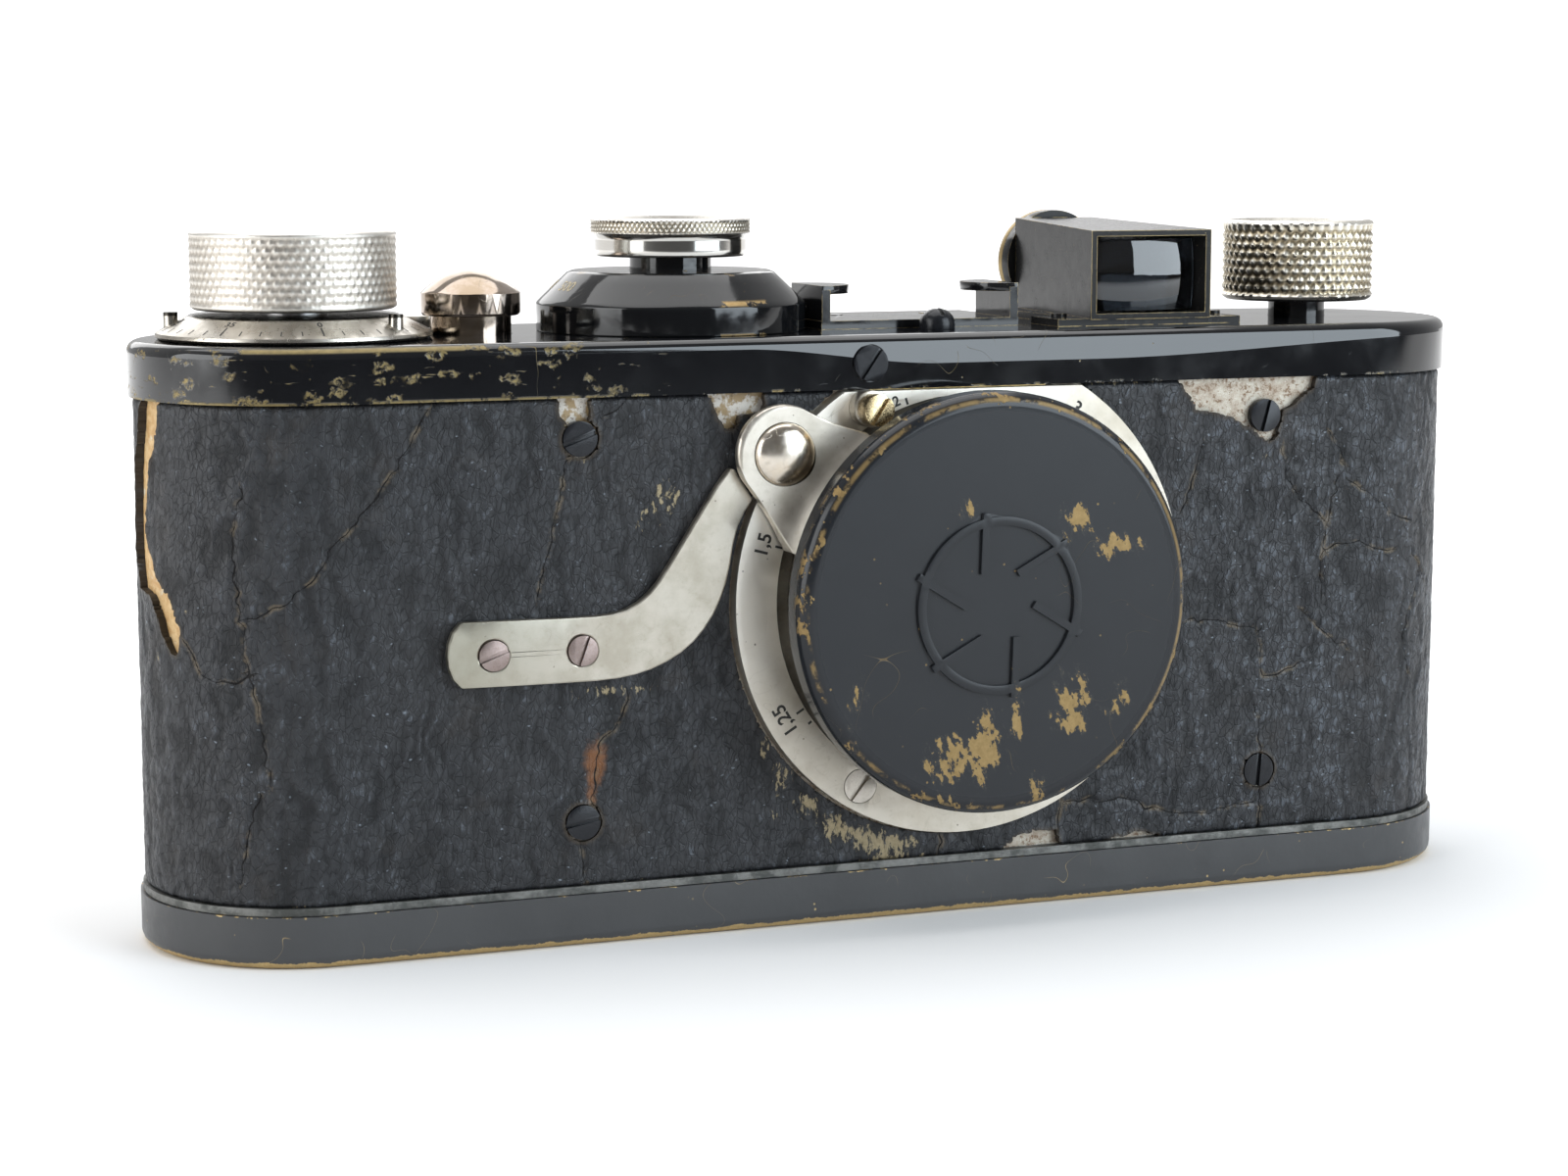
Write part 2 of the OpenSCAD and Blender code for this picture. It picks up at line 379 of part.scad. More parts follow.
// ---- base ----
module base_plate() color([0.08,0.08,0.085]) difference() {
  union() {
    full_body(concat([[0,0],[R-1.2,0]], arc_pts(R-1.2,1.2,1.2,-75,0,5), [[R,base_rim],[R-1,base_rim],[R-1,base_floor],[0,base_floor]]));
    translate([51.5,0,0]) rod(10,0.6,3.1,64);
  }
  translate([51.5,0,0]) { rod(8.6,-1,1.9,64); rod(2.3,-1,5,36); }
  translate([WX,0,0]) rod(6.5,-1,5,64);
}
module tripod_bush() color([0.66,0.55,0.3]) translate([WX,0,0]) difference() { union() { rod(6.5,0,base_floor,64); rod(7.6,base_floor,6.6,64); } rod(3.97,-1,6.0,48); }
module lock_key() color([0.7,0.69,0.66]) translate([51.5,0,0]) difference() {
  union() { rod(8.5,0.1,1.82,64); rod(2.2,1.8,4.9,36); }
  translate([0,0,-0.5]) difference() { cylinder(r=7.3,h=1.65,$fn=64); translate([0,0,-1]) cylinder(r=5.2,h=4,$fn=64); }
}
module lock_bar() color([0.55,0.55,0.55]) translate([51.5,0,0]) difference() {
  union() { rod(4,3.3,4.5,48); translate([-7,-2,3.3]) cube([14,4,1.2]); }
  rod(2.22,2,6,36);
}
module key_ring() color([0.72,0.71,0.68]) translate([51.5,0,0]) {
  rotate([0,0,-90]) rotate_extrude(angle=180,$fn=64) translate([5.4,0.2]) square([1.7,0.7]);
  for (s=[-1,1]) translate([0,s*6.25,0.55]) rotate([90,0,0]) cylinder(r=0.42,h=1.5,center=true,$fn=24);
}

body_shell();
leather_cover();
top_plate();
top_plate_screw_front();
top_plate_screw_rear();
body_screws();
chassis();
film_gate();
pressure_plate();
pressure_springs();
first_curtain();
curtain_rollers_a();
curtain_rollers_b();
accessory_shoe();
shoe_screw();
finder_housing();
finder_front_lens();
finder_eyepiece();
finder_eye_lens();
speed_boss();
helicoid_ring();
lens_flange();
flange_screw_lower();
flange_screw_side();
stop_collar();
stop_screw();
catch_strip();
catch_screws();
wind_knob();
wind_shaft();
take_up_spool();
counter_dial();
sprocket_shaft();
release_button();
release_spring();
drum_shaft();
second_curtain();
speed_stem();
speed_knob();
rewind_knob();
rewind_shaft();
clutch_lever();
helicoid_carrier();
focus_tube();
focus_lever();
infinity_button();
lens_tube();
front_ring();
aperture_ring();
lens_cell();
front_glass();
iris();
rear_glass();
lens_cap();
base_plate();
tripod_bush();
lock_key();
lock_bar();
key_ring();
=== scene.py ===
import bpy, bmesh, math
import numpy as np
from mathutils import Vector, Matrix


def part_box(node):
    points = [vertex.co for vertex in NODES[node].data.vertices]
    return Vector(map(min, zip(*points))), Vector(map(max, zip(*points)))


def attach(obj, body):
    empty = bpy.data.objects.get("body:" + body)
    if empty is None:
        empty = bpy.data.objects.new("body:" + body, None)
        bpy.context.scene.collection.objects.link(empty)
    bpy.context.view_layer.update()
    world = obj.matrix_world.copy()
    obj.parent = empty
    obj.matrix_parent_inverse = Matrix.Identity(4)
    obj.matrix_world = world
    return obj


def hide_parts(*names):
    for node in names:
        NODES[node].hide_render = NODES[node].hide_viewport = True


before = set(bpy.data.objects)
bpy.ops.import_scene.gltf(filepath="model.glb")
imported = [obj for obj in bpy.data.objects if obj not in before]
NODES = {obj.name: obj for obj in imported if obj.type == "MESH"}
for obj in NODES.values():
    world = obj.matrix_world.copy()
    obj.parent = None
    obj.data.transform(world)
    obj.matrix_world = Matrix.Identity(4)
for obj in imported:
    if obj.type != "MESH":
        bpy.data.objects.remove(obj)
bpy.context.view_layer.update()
MM = 0.001


def box_mm(n):
    lo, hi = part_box(n)
    return [v * 1000 for v in lo], [v * 1000 for v in hi]


def mid(n):
    lo, hi = box_mm(n)
    return [(a + b) / 2 for a, b in zip(lo, hi)]


CX, _, CZ = mid("lens_cap")            # lens axis
CR = (box_mm("lens_cap")[1][0] - box_mm("lens_cap")[0][0]) / 2
WX = mid("wind_knob")[0]
RX = mid("rewind_knob")[0]
DX = mid("speed_knob")[0]
SX = mid("release_button")[0]
T = box_mm("top_plate")[1][2]          # height of the top plate's face
R_BODY = box_mm("top_plate")[1][1]
A_BODY = box_mm("top_plate")[1][0] - R_BODY

# ------------------------------------------------------------------ camera
cam_data = bpy.data.cameras.new("view_camera")
cam_data.lens = 74.55
cam_data.sensor_width = 36.0
cam_data.clip_start, cam_data.clip_end = 0.01, 50
cam = bpy.data.objects.new("view_camera", cam_data)
bpy.context.scene.collection.objects.link(cam)
yaw, pitch = math.radians(20.99), math.radians(7.93)
fwd = Vector((math.sin(yaw) * math.cos(pitch), math.cos(yaw) * math.cos(pitch), -math.sin(pitch)))
cam.location = (-0.115545, -0.290655, 0.073100)
cam.rotation_mode = "QUATERNION"
cam.rotation_quaternion = fwd.to_track_quat("-Z", "Y")
bpy.context.scene.camera = cam
bpy.context.scene.view_settings.view_transform = "Standard"
bpy.context.scene.view_settings.look = "None"


# ------------------------------------------------------------------ shader helper
class Sh:
    def __init__(s, name):
        s.m = bpy.data.materials.new(name)
        s.m.use_nodes = True
        s.t = s.m.node_tree
        s.t.nodes.clear()
        s.out = s.t.nodes.new("ShaderNodeOutputMaterial")
        s.co = s.node("ShaderNodeTexCoord").outputs["Object"]
        s.p = s.vec(s.co, (1000, 1000, 1000))
        sep = s.node("ShaderNodeSeparateXYZ")
        s.t.links.new(s.p, sep.inputs[0])
        s.x, s.y, s.z = sep.outputs[0], sep.outputs[1], sep.outputs[2]

    def node(s, kind, **props):
        n = s.t.nodes.new(kind)
        for k, v in props.items():
            setattr(n, k, v)
        return n

    def put(s, sock, v):
        if isinstance(v, bpy.types.NodeSocket):
            s.t.links.new(v, sock)
        elif isinstance(v, (tuple, list)) and len(v) == 3 and sock.type == "RGBA":
            sock.default_value = (*v, 1)
        else:
            sock.default_value = v

    def vec(s, v, k):
        n = s.node("ShaderNodeVectorMath", operation="MULTIPLY")
        s.put(n.inputs[0], v)
        s.put(n.inputs[1], k)
        return n.outputs[0]

    def vadd(s, v, k):
        n = s.node("ShaderNodeVectorMath", operation="ADD")
        s.put(n.inputs[0], v)
        s.put(n.inputs[1], k)
        return n.outputs[0]

    def comb(s, x, y, z):
        n = s.node("ShaderNodeCombineXYZ")
        for i, v in enumerate((x, y, z)):
            s.put(n.inputs[i], v)
        return n.outputs[0]

    def rot(s, v, r):
        n = s.node("ShaderNodeVectorRotate", rotation_type="EULER_XYZ")
        s.put(n.inputs["Vector"], v)
        n.inputs["Rotation"].default_value = r
        return n.outputs[0]

    def f(s, op, a, b=0.0, c=None, clamp=False):
        n = s.node("ShaderNodeMath", operation=op, use_clamp=clamp)
        s.put(n.inputs[0], a)
        s.put(n.inputs[1], b)
        if c is not None:
            s.put(n.inputs[2], c)
        return n.outputs[0]

    def add(s, *a):
        r = a[0]
        for b in a[1:]:
            r = s.f("ADD", r, b)
        return r

    def mul(s, *a):
        r = a[0]
        for b in a[1:]:
            r = s.f("MULTIPLY", r, b)
        return r

    def sub(s, a, b):
        return s.f("SUBTRACT", a, b)

    def mx(s, *a):
        r = a[0]
        for b in a[1:]:
            r = s.f("MAXIMUM", r, b)
        return r

    def mn(s, a, b):
        return s.f("MINIMUM", a, b)

    def ab(s, a):
        return s.f("ABSOLUTE", a)

    def inv(s, a):
        return s.f("SUBTRACT", 1.0, a, clamp=True)

    def ss(s, v, lo, hi, a=0.0, b=1.0):
        """0 below lo, 1 above hi, smooth between (or the other way round if lo > hi)."""
        n = s.node("ShaderNodeMapRange", interpolation_type="SMOOTHSTEP")
        if lo > hi:
            lo, hi, a, b = hi, lo, b, a
        s.put(n.inputs["Value"], v)
        n.inputs["From Min"].default_value = lo
        n.inputs["From Max"].default_value = hi
        n.inputs["To Min"].default_value = a
        n.inputs["To Max"].default_value = b
        return n.outputs["Result"]

    def band(s, v, lo, hi, soft):
        return s.mul(s.ss(v, lo - soft, lo + soft), s.ss(v, hi + soft, hi - soft))

    def noise(s, scale, detail=3.0, rough=0.55, vec=None, dist=0.0, col=False, off=None):
        n = s.node("ShaderNodeTexNoise")
        v = s.p if vec is None else vec
        if off is not None:
            v = s.vadd(v, off)
        s.put(n.inputs["Vector"], v)
        n.inputs["Scale"].default_value = scale
        n.inputs["Detail"].default_value = detail
        n.inputs["Roughness"].default_value = rough
        n.inputs["Distortion"].default_value = dist
        return n.outputs["Color" if col else "Fac"]

    def vor(s, scale, vec=None, feature="F1", out="Distance", rand=1.0):
        n = s.node("ShaderNodeTexVoronoi", feature=feature)
        s.put(n.inputs["Vector"], s.p if vec is None else vec)
        n.inputs["Scale"].default_value = scale
        n.inputs["Randomness"].default_value = rand
        return n.outputs[out]

    def mixc(s, fac, a, b):
        n = s.node("ShaderNodeMix", data_type="RGBA")
        s.put(n.inputs[0], fac)
        s.put(n.inputs[6], a)
        s.put(n.inputs[7], b)
        return n.outputs[2]

    def mixf(s, fac, a, b):
        n = s.node("ShaderNodeMix", data_type="FLOAT")
        s.put(n.inputs[0], fac)
        s.put(n.inputs[2], a)
        s.put(n.inputs[3], b)
        return n.outputs[0]

    def attr(s, name, out="Fac"):
        return s.node("ShaderNodeAttribute", attribute_name=name).outputs[out]

    def bump(s, h, dist_mm, strength=1.0, normal=None):
        n = s.node("ShaderNodeBump")
        s.put(n.inputs["Height"], h)
        n.inputs["Distance"].default_value = dist_mm * MM
        n.inputs["Strength"].default_value = strength
        if normal is not None:
            s.put(n.inputs["Normal"], normal)
        return n.outputs[0]

    def edges(s, radius_mm, lo=0.02, hi=0.25):
        """1 on convex or concave edges narrower than the radius, from the bevel normal."""
        b = s.node("ShaderNodeBevel", samples=4)
        b.inputs["Radius"].default_value = radius_mm * MM
        g = s.node("ShaderNodeNewGeometry")
        d = s.node("ShaderNodeVectorMath", operation="DOT_PRODUCT")
        s.put(d.inputs[0], b.outputs[0])
        s.put(d.inputs[1], g.outputs["Normal"])
        return s.ss(s.sub(1.0, d.outputs["Value"]), lo, hi)

    def scratch(s, scale, width, vec=None, off=(0, 0, 0), gate=0.5, gscale=0.12):
        """thin curved lines: the narrow ridge of a stretched noise, gated by a broader one."""
        v = s.p if vec is None else vec
        n = s.noise(scale, 0.0, 0.5, vec=s.vadd(v, off), dist=0.6)
        line = s.ss(s.ab(s.sub(n, 0.5)), width, width * 0.3)
        g = s.noise(gscale, 2.0, 0.6, vec=s.vadd(s.p, (off[1] + 3.1, off[0] - 7.7, off[2] + 1.3)))
        return s.mul(line, s.ss(g, gate, gate + 0.06))

    def done(s, color, metallic=0.0, rough=0.5, normal=None, spec=0.5, coat=0.0, coat_rough=0.1,
             trans=0.0, ior=1.5, sheen=0.0, aniso=0.0, coat_normal=None):
        b = s.node("ShaderNodeBsdfPrincipled")
        s.put(b.inputs["Base Color"], color)
        s.put(b.inputs["Metallic"], metallic)
        s.put(b.inputs["Roughness"], rough)
        s.put(b.inputs["Specular IOR Level"], spec)
        s.put(b.inputs["Coat Weight"], coat)
        s.put(b.inputs["Coat Roughness"], coat_rough)
        s.put(b.inputs["Transmission Weight"], trans)
        s.put(b.inputs["IOR"], ior)
        s.put(b.inputs["Sheen Weight"], sheen)
        s.put(b.inputs["Anisotropic"], aniso)
        if normal is not None:
            s.put(b.inputs["Normal"], normal)
        if coat_normal is not None:
            s.put(b.inputs["Coat Normal"], coat_normal)
        s.t.links.new(b.outputs[0], s.out.inputs[0])
        return s.m


BRASS = (0.52, 0.36, 0.15)
BRASS_DARK = (0.20, 0.125, 0.045)
NICKEL = (0.60, 0.565, 0.50)


def make_materials():
    M = {}
    # ---- glossy black enamel over brass, top plate
    s = Sh("enamel_top")
    left = s.ss(s.x, -14, -36)
    n1 = s.noise(0.55, 6, 0.62)
    n2 = s.noise(2.4, 4, 0.6, off=(3, 9, 1))
    flat = s.ss(s.z, T - 0.12, T - 0.02)
    front = s.ss(s.y, -6, -11)
    gold = s.mul(s.ss(s.x, -36, -41), s.ss(s.x, -62, -56), front)
    up = s.band(s.z, T - 0.52, T - 0.16, 0.12)
    down = s.ss(s.z, T - 4.70, T - 4.92)
    wear_up = s.mul(s.ss(s.add(n1, s.mul(n2, 0.22), s.mul(left, 0.10), s.mul(gold, 0.25)), 0.78, 0.87), up, 0.85)
    wear_down = s.mul(s.ss(s.add(n1, s.mul(n2, 0.22), s.mul(left, 0.12)), 0.66, 0.76), down, 0.75)
    # chips: soft-edged ovals, worn through round the middle, only on the winding end
    warp = s.vec(s.vadd(s.noise(1.3, 2, 0.6, col=True), (-0.5, -0.5, -0.5)), (2.2, 2.2, 1.2))
    cell = s.vor(0.36, vec=s.vec(s.vadd(s.p, warp), (1.0, 1.0, 2.1)))
    ring = s.mul(s.ss(cell, 0.08, 0.22), s.ss(cell, 0.40, 0.26))
    keep = s.ss(s.add(s.noise(0.30, 2, 0.6, off=(11, 4, 8)), s.mul(left, 0.20)), 0.62, 0.72)
    chips = s.mul(ring, keep, s.ss(n2, 0.36, 0.58), s.inv(flat), left)
    streaks = s.mul(s.ss(s.noise(0.9, 3, 0.6, vec=s.vec(s.p, (0.35, 0.35, 2.2)), off=(8, 1, 3)), 0.66, 0.72), left, s.inv(flat), 0.8)
    dots = s.mul(s.ss(s.vor(1.0), 0.11, 0.06), s.ss(s.noise(0.3, 1, 0.5, off=(5, 5, 5)), 0.64, 0.70))
    sc = s.mul(s.scratch(0.22, 0.0017, off=(2, 7, 5), gate=0.56), 0.8)
    wear = s.mx(wear_up, wear_down, s.mul(chips, 0.85), s.mul(streaks, 0.8), s.mul(dots, 0.7), sc)
    wcol = s.mixc(s.noise(2.0, 3, 0.6), (0.11, 0.082, 0.028), (0.36, 0.27, 0.105))
    col = s.mixc(wear, (0.0050, 0.0054, 0.0066), wcol)
    smudge = s.noise(0.16, 4, 0.6, off=(1, 2, 3))
    rough = s.mixf(wear, s.ss(smudge, 0.35, 0.75, 0.045, 0.11), 0.48)
    # the die-formed wall leans in a little towards the top
    lean_z = s.add(T - 2.75, s.ss(s.x, 22, 62, 0.0, 1.5), s.ss(s.x, 6, -14, 0.0, 1.7))
    lean = s.mul(s.mx(s.sub(s.z, lean_z), 0.0), -0.095)
    h = s.add(s.mul(wear, -0.014), s.mul(s.noise(0.16, 2, 0.5, off=(8, 8, 2)), 0.012), s.mul(s.noise(6, 2, 0.5), 0.0005), lean)
    nb = s.bump(h, 1.0)
    M["enamel_top"] = s.done(col, s.mul(wear, 0.6), rough, nb, spec=0.62)

    # ---- enamel on the speed boss
    s = Sh("enamel_boss")
    n1 = s.noise(0.8, 5, 0.62, off=(4, 0, 1))
    n2 = s.noise(3.0, 3, 0.6)
    e1 = s.band(s.z, T + 2.72, T + 3.12, 0.14)
    e2 = s.band(s.z, T + 5.35, T + 5.65, 0.10)
    e3 = s.ss(s.z, T + 0.3, T + 0.05)
    bx_ = s.sub(s.x, DX)
    seg = s.mul(s.band(bx_, 0.2, 5.6, 0.8), s.ss(s.y, 0, -3))
    arcn = s.ss(s.noise(0.22, 2, 0.5, off=(7, 2, 2)), 0.52, 0.62)
    wear = s.mul(s.ss(s.add(n1, s.mul(n2, 0.2), s.mul(seg, 0.30), s.mul(arcn, 0.05)), 0.80, 0.90), s.mx(e1, s.mul(e3, 0.8)))
    wear = s.mx(wear, s.mul(s.ss(n1, 0.60, 0.68), e2, 0.5))
    spk = s.mul(s.ss(s.vor(1.4), 0.08, 0.05), s.ss(s.noise(0.5, 2), 0.58, 0.66))
    wear = s.mx(wear, s.mul(spk, 0.6), s.mul(s.scratch(0.4, 0.0022, off=(1, 1, 9), gate=0.60), 0.5))
    col = s.mixc(wear, (0.0048, 0.0052, 0.0060), s.mixc(n2, (0.30, 0.18, 0.07), (0.52, 0.38, 0.18)))
    rough = s.mixf(wear, s.ss(s.noise(0.3, 3), 0.35, 0.7, 0.05, 0.12), 0.4)
    h = s.add(s.mul(wear, -0.012), s.mul(s.noise(0.5, 2), 0.012))
    M["enamel_boss"] = s.done(col, s.mul(wear, 0.8), rough, s.bump(h, 1.0))

    # ---- satin black over brass: base plate
    s = Sh("satin_base")
    n1 = s.noise(0.7, 6, 0.65)
    n2 = s.noise(3.2, 3, 0.6, off=(1, 6, 2))
    low = s.ss(s.z, 0.95, 0.35)
    lip = s.ss(s.z, 4.55, 4.8)
    under = s.ss(s.z, 0.06, 0.0)
    w1 = s.ss(s.add(n1, s.mul(n2, 0.18), s.mul(low, 0.46)), 0.80, 0.88)
    w2 = s.mul(s.ss(s.add(n1, s.mul(n2, 0.2), s.mul(lip, 0.14)), 0.80, 0.84), lip)
    w1 = s.mul(w1, s.ss(low, 0.02, 0.25), s.mixf(under, 1.0, s.mul(s.ss(n1, 0.64, 0.70), 0.8)))
    spk = s.mul(s.ss(s.vor(0.9), 0.13, 0.07), s.ss(s.noise(0.22, 2, off=(7, 1, 1)), 0.56, 0.64))
    wear = s.mx(w1, w2, s.mul(spk, 0.8), s.mul(s.scratch(0.25, 0.002, off=(9, 2, 2), gate=0.55), 0.5))
    tone = s.noise(0.10, 4, 0.6, off=(2, 2, 2))
    base = s.mixc(tone, (0.034, 0.035, 0.037), (0.060, 0.061, 0.063))
    col = s.mixc(wear, base, s.mixc(n2, (0.38, 0.26, 0.11), (0.68, 0.52, 0.27)))
    rough = s.mixf(wear, s.ss(s.noise(0.5, 3), 0.3, 0.7, 0.30, 0.42), 0.42)
    h = s.add(s.mul(wear, -0.02), s.mul(s.noise(0.5, 3), 0.04), s.mul(s.noise(9, 2), 0.003))
    M["satin_base"] = s.done(col, s.mul(wear, 0.85), rough, s.bump(h, 1.0))

    # ---- satin black small fittings with brass on their edges (shoe, finder)
    def fitting(name, base_a, base_b, r0, r1, erad, amount, spec=0.5, scr=0.4, rim=None):
        s = Sh(name)
        ed = s.edges(erad)
        n1 = s.noise(0.9, 5, 0.62, off=(2, 1, 7))
        n2 = s.noise(4.0, 3, 0.6)
        wear = s.ss(s.add(s.mul(ed, 0.34), n1, s.mul(n2, 0.15)), amount, amount + 0.09)
        wear = s.mul(wear, s.ss(ed, 0.05, 0.4))
        if rim is not None:
            wear = s.mx(wear, s.mul(s.ss(s.y, rim + 0.34, rim + 0.16), s.ss(ed, 0.03, 0.28), s.ss(s.z, T + 1.0, T + 1.3), s.ss(s.add(n1, s.mul(n2, 0.3)), 0.34, 0.50), 0.95))
        spk = s.mul(s.ss(s.vor(1.3), 0.09, 0.05), s.ss(s.noise(0.6, 2, off=(3, 3, 3)), 0.55, 0.6))
        wear = s.mx(wear, s.mul(spk, 0.5), s.mul(s.scratch(0.5, 0.003, off=(4, 9, 2), gate=0.56), scr))
        base = s.mixc(s.noise(0.25, 3, 0.6), base_a, base_b)
        col = s.mixc(wear, base, s.mixc(n2, (0.25, 0.17, 0.07), (0.55, 0.43, 0.22)))
        rough = s.mixf(wear, s.ss(s.noise(0.7, 3), 0.3, 0.7, r0, r1), 0.4)
        h = s.add(s.mul(wear, -0.012), s.mul(s.noise(0.3, 2), 0.006), s.mul(s.noise(12, 2), 0.0006))
        return s.done(col, s.mul(wear, 0.85), rough, s.bump(h, 1.0), spec=spec)
    M["shoe_black"] = fitting("shoe_black", (0.006, 0.006, 0.007), (0.012, 0.012, 0.013), 0.07, 0.16, 0.12, 0.80)
    M["finder_black"] = fitting("finder_black", (0.0110, 0.0110, 0.0112), (0.0150, 0.0148, 0.0148), 0.22, 0.28, 0.14, 0.80, 0.16, 0.10, box_mm("finder_housing")[0][1])
    M["inner_black"] = fitting("inner_black", (0.012, 0.012, 0.013), (0.022, 0.022, 0.022), 0.4, 0.6, 0.15, 0.85)

    # ---- cap: satin black lacquer with brass showing in patches
    s = Sh("cap_lacquer")
    lx, ly = s.sub(s.x, CX), s.sub(s.z, CZ)
    r = s.f("SQRT", s.add(s.mul(lx, lx), s.mul(ly, ly)))
    n1 = s.noise(0.62, 7, 0.66, off=(3, 0, 3))
    n2 = s.noise(3.0, 4, 0.6, off=(6, 1, 1))
    streak = s.noise(1.0, 4, 0.6, vec=s.vec(s.rot(s.p, (0.0, 0.35, 0.0)), (1.5, 1, 0.55)), off=(5, 5, 1))

    def blob(cx, cy, rx, ry):
        dx = s.f("DIVIDE", s.sub(lx, cx), rx)
        dy = s.f("DIVIDE", s.sub(ly, cy), ry)
        return s.ss(s.f("SQRT", s.add(s.mul(dx, dx), s.mul(dy, dy))), 1.25, 0.15)
    blobs = s.mx(blob(-3.0, -14.0, 6.6, 4.0), blob(-1.2, -12.0, 2.6, 4.2), s.mul(blob(7.4, -9.6, 3.4, 5.4), 0.92), s.mul(blob(1.9, -10.0, 1.1, 4.6), 0.92))
    blobs = s.mx(blobs, s.mul(blob(7.8, 7.5, 2.6, 3.2), 0.88), s.mul(blob(12.4, 5.0, 4.4, 2.0), 0.84),
                 s.mul(blob(-3.7, 9.0, 1.8, 1.8), 0.84), s.mul(blob(-14.0, -9.0, 1.8, 5.0), 0.8), s.mul(blob(12.0, -9.0, 3.0, 3.4), 0.70), s.mul(blob(4.0, -16.5, 1.4, 2.6), 0.8))
    rim = s.ss(r, CR - 2.1, CR - 0.5)
    side = s.ss(s.y, -23.0, -21.6)
    ang = s.f("ARCTAN2", ly, lx)
    upleft = s.ss(s.sub(ly, lx), 12.0, 24.0)
    rimmod = s.add(s.mixf(s.ss(s.noise(0.11, 3, 0.6, off=(1, 1, 1)), 0.42, 0.58), 0.60, 1.05), s.mul(upleft, 0.34))
    wf = s.add(s.mixf(0.5, n1, streak), s.mul(blobs, 0.285), s.mul(rim, rimmod, 0.17), s.mul(n2, 0.16))
    wear = s.mul(s.ss(wf, 0.815, 0.835), s.mx(s.ss(blobs, 0.02, 0.3), s.ss(rim, 0.05, 0.5)))
    wear = s.mul(wear, s.mixf(side, 1.0, s.mul(s.ss(s.noise(0.3, 3, off=(9, 9, 9)), 0.58, 0.66), 0.7)))
    spk = s.mul(s.ss(s.vor(0.85, vec=s.vadd(s.p, (3, 3, 3))), 0.12, 0.07), s.ss(s.noise(0.2, 2, off=(4, 4, 8)), 0.57, 0.63))
    wear = s.mx(wear, s.mul(spk, 0.75), s.mul(s.scratch(0.2, 0.002, off=(3, 6, 1), gate=0.55), 0.35))
    line = s.mul(s.band(r, CR - 0.86, CR - 0.52, 0.14), s.ss(s.add(s.noise(0.35, 4, 0.65, off=(2, 6, 2)), s.mul(s.ss(s.add(ly, lx), -20, 8), 0.12)), 0.50, 0.62), 0.8)
    wear = s.mx(wear, line)
    halo = s.ss(wf, 0.75, 0.83)
    base = s.mixc(s.noise(0.16, 5, 0.65), (0.0112, 0.0126, 0.0152), (0.0150, 0.0166, 0.0195))
    base = s.mixc(s.mul(halo, 0.5, s.ss(blobs, 0.0, 0.3)), base, (0.050, 0.047, 0.042))
    wcol = s.mixc(s.noise(1.7, 5, 0.7), (0.15, 0.095, 0.034), (0.37, 0.26, 0.115))
    col = s.mixc(wear, base, wcol)
    rough = s.mixf(wear, s.mixf(s.ss(r, CR - 1.9, CR - 1.2), s.ss(s.noise(0.4, 4, 0.6), 0.3, 0.7, 0.30, 0.34), 0.17), 0.50)
    pits = s.mul(s.ss(s.vor(2.2), 0.16, 0.05), s.ss(s.noise(0.8, 2), 0.5, 0.65))
    h = s.add(s.mul(wear, -0.030), s.mul(s.noise(0.25, 2), 0.010), s.mul(s.noise(7, 3), 0.0022), s.mul(pits, -0.012))
    M["cap_lacquer"] = s.done(col, s.mul(wear, 0.55), rough, s.bump(h, 1.0), spec=0.33)

    # ---- nickel finishes; some carry painted shade and painted light in their colour
    def nickel(name, tint=(0.60, 0.565, 0.50), tint2=(0.50, 0.45, 0.36), r0=0.24, r1=0.40, spots=0.5, fine=1.0, turned=None, dirt=0.35, shade=None, painted_shade_z=None, lift=None, left_end_darker=None):
        s = Sh(name)
        n1 = s.noise(0.22, 5, 0.62, off=(2, 8, 3))
        n2 = s.noise(1.6, 4, 0.65, off=(1, 1, 4))
        col = s.mixc(s.ss(n1, 0.38, 0.68), tint, tint2)
        col = s.mixc(s.mul(s.ss(n2, 0.52, 0.80), dirt), col, (0.30, 0.255, 0.19))
        if shade:
            su, sv = s.sub(s.x, CX), s.sub(s.z, CZ)
            sr_ = s.f("SQRT", s.add(s.mul(su, su), s.mul(sv, sv)))
            col = s.mixc(s.mul(s.ss(sr_, shade[1], shade[0]), shade[2]), col, (0.085, 0.080, 0.070))
        # painted light: the colour turns paler where the weighted sum of z and x passes the given range, on the flange
        # towards the top and left
        if lift:
            col = s.mixc(s.mul(s.ss(s.add(s.mul(s.z, lift[0]), s.mul(s.x, lift[1])), lift[2], lift[3]), lift[4]), col, (0.93, 0.89, 0.81))
        # darker and greyer towards negative x
        if left_end_darker:
            col = s.mixc(s.mul(s.ss(s.x, left_end_darker[0], left_end_darker[1]), left_end_darker[2]), col, (0.29, 0.285, 0.225))
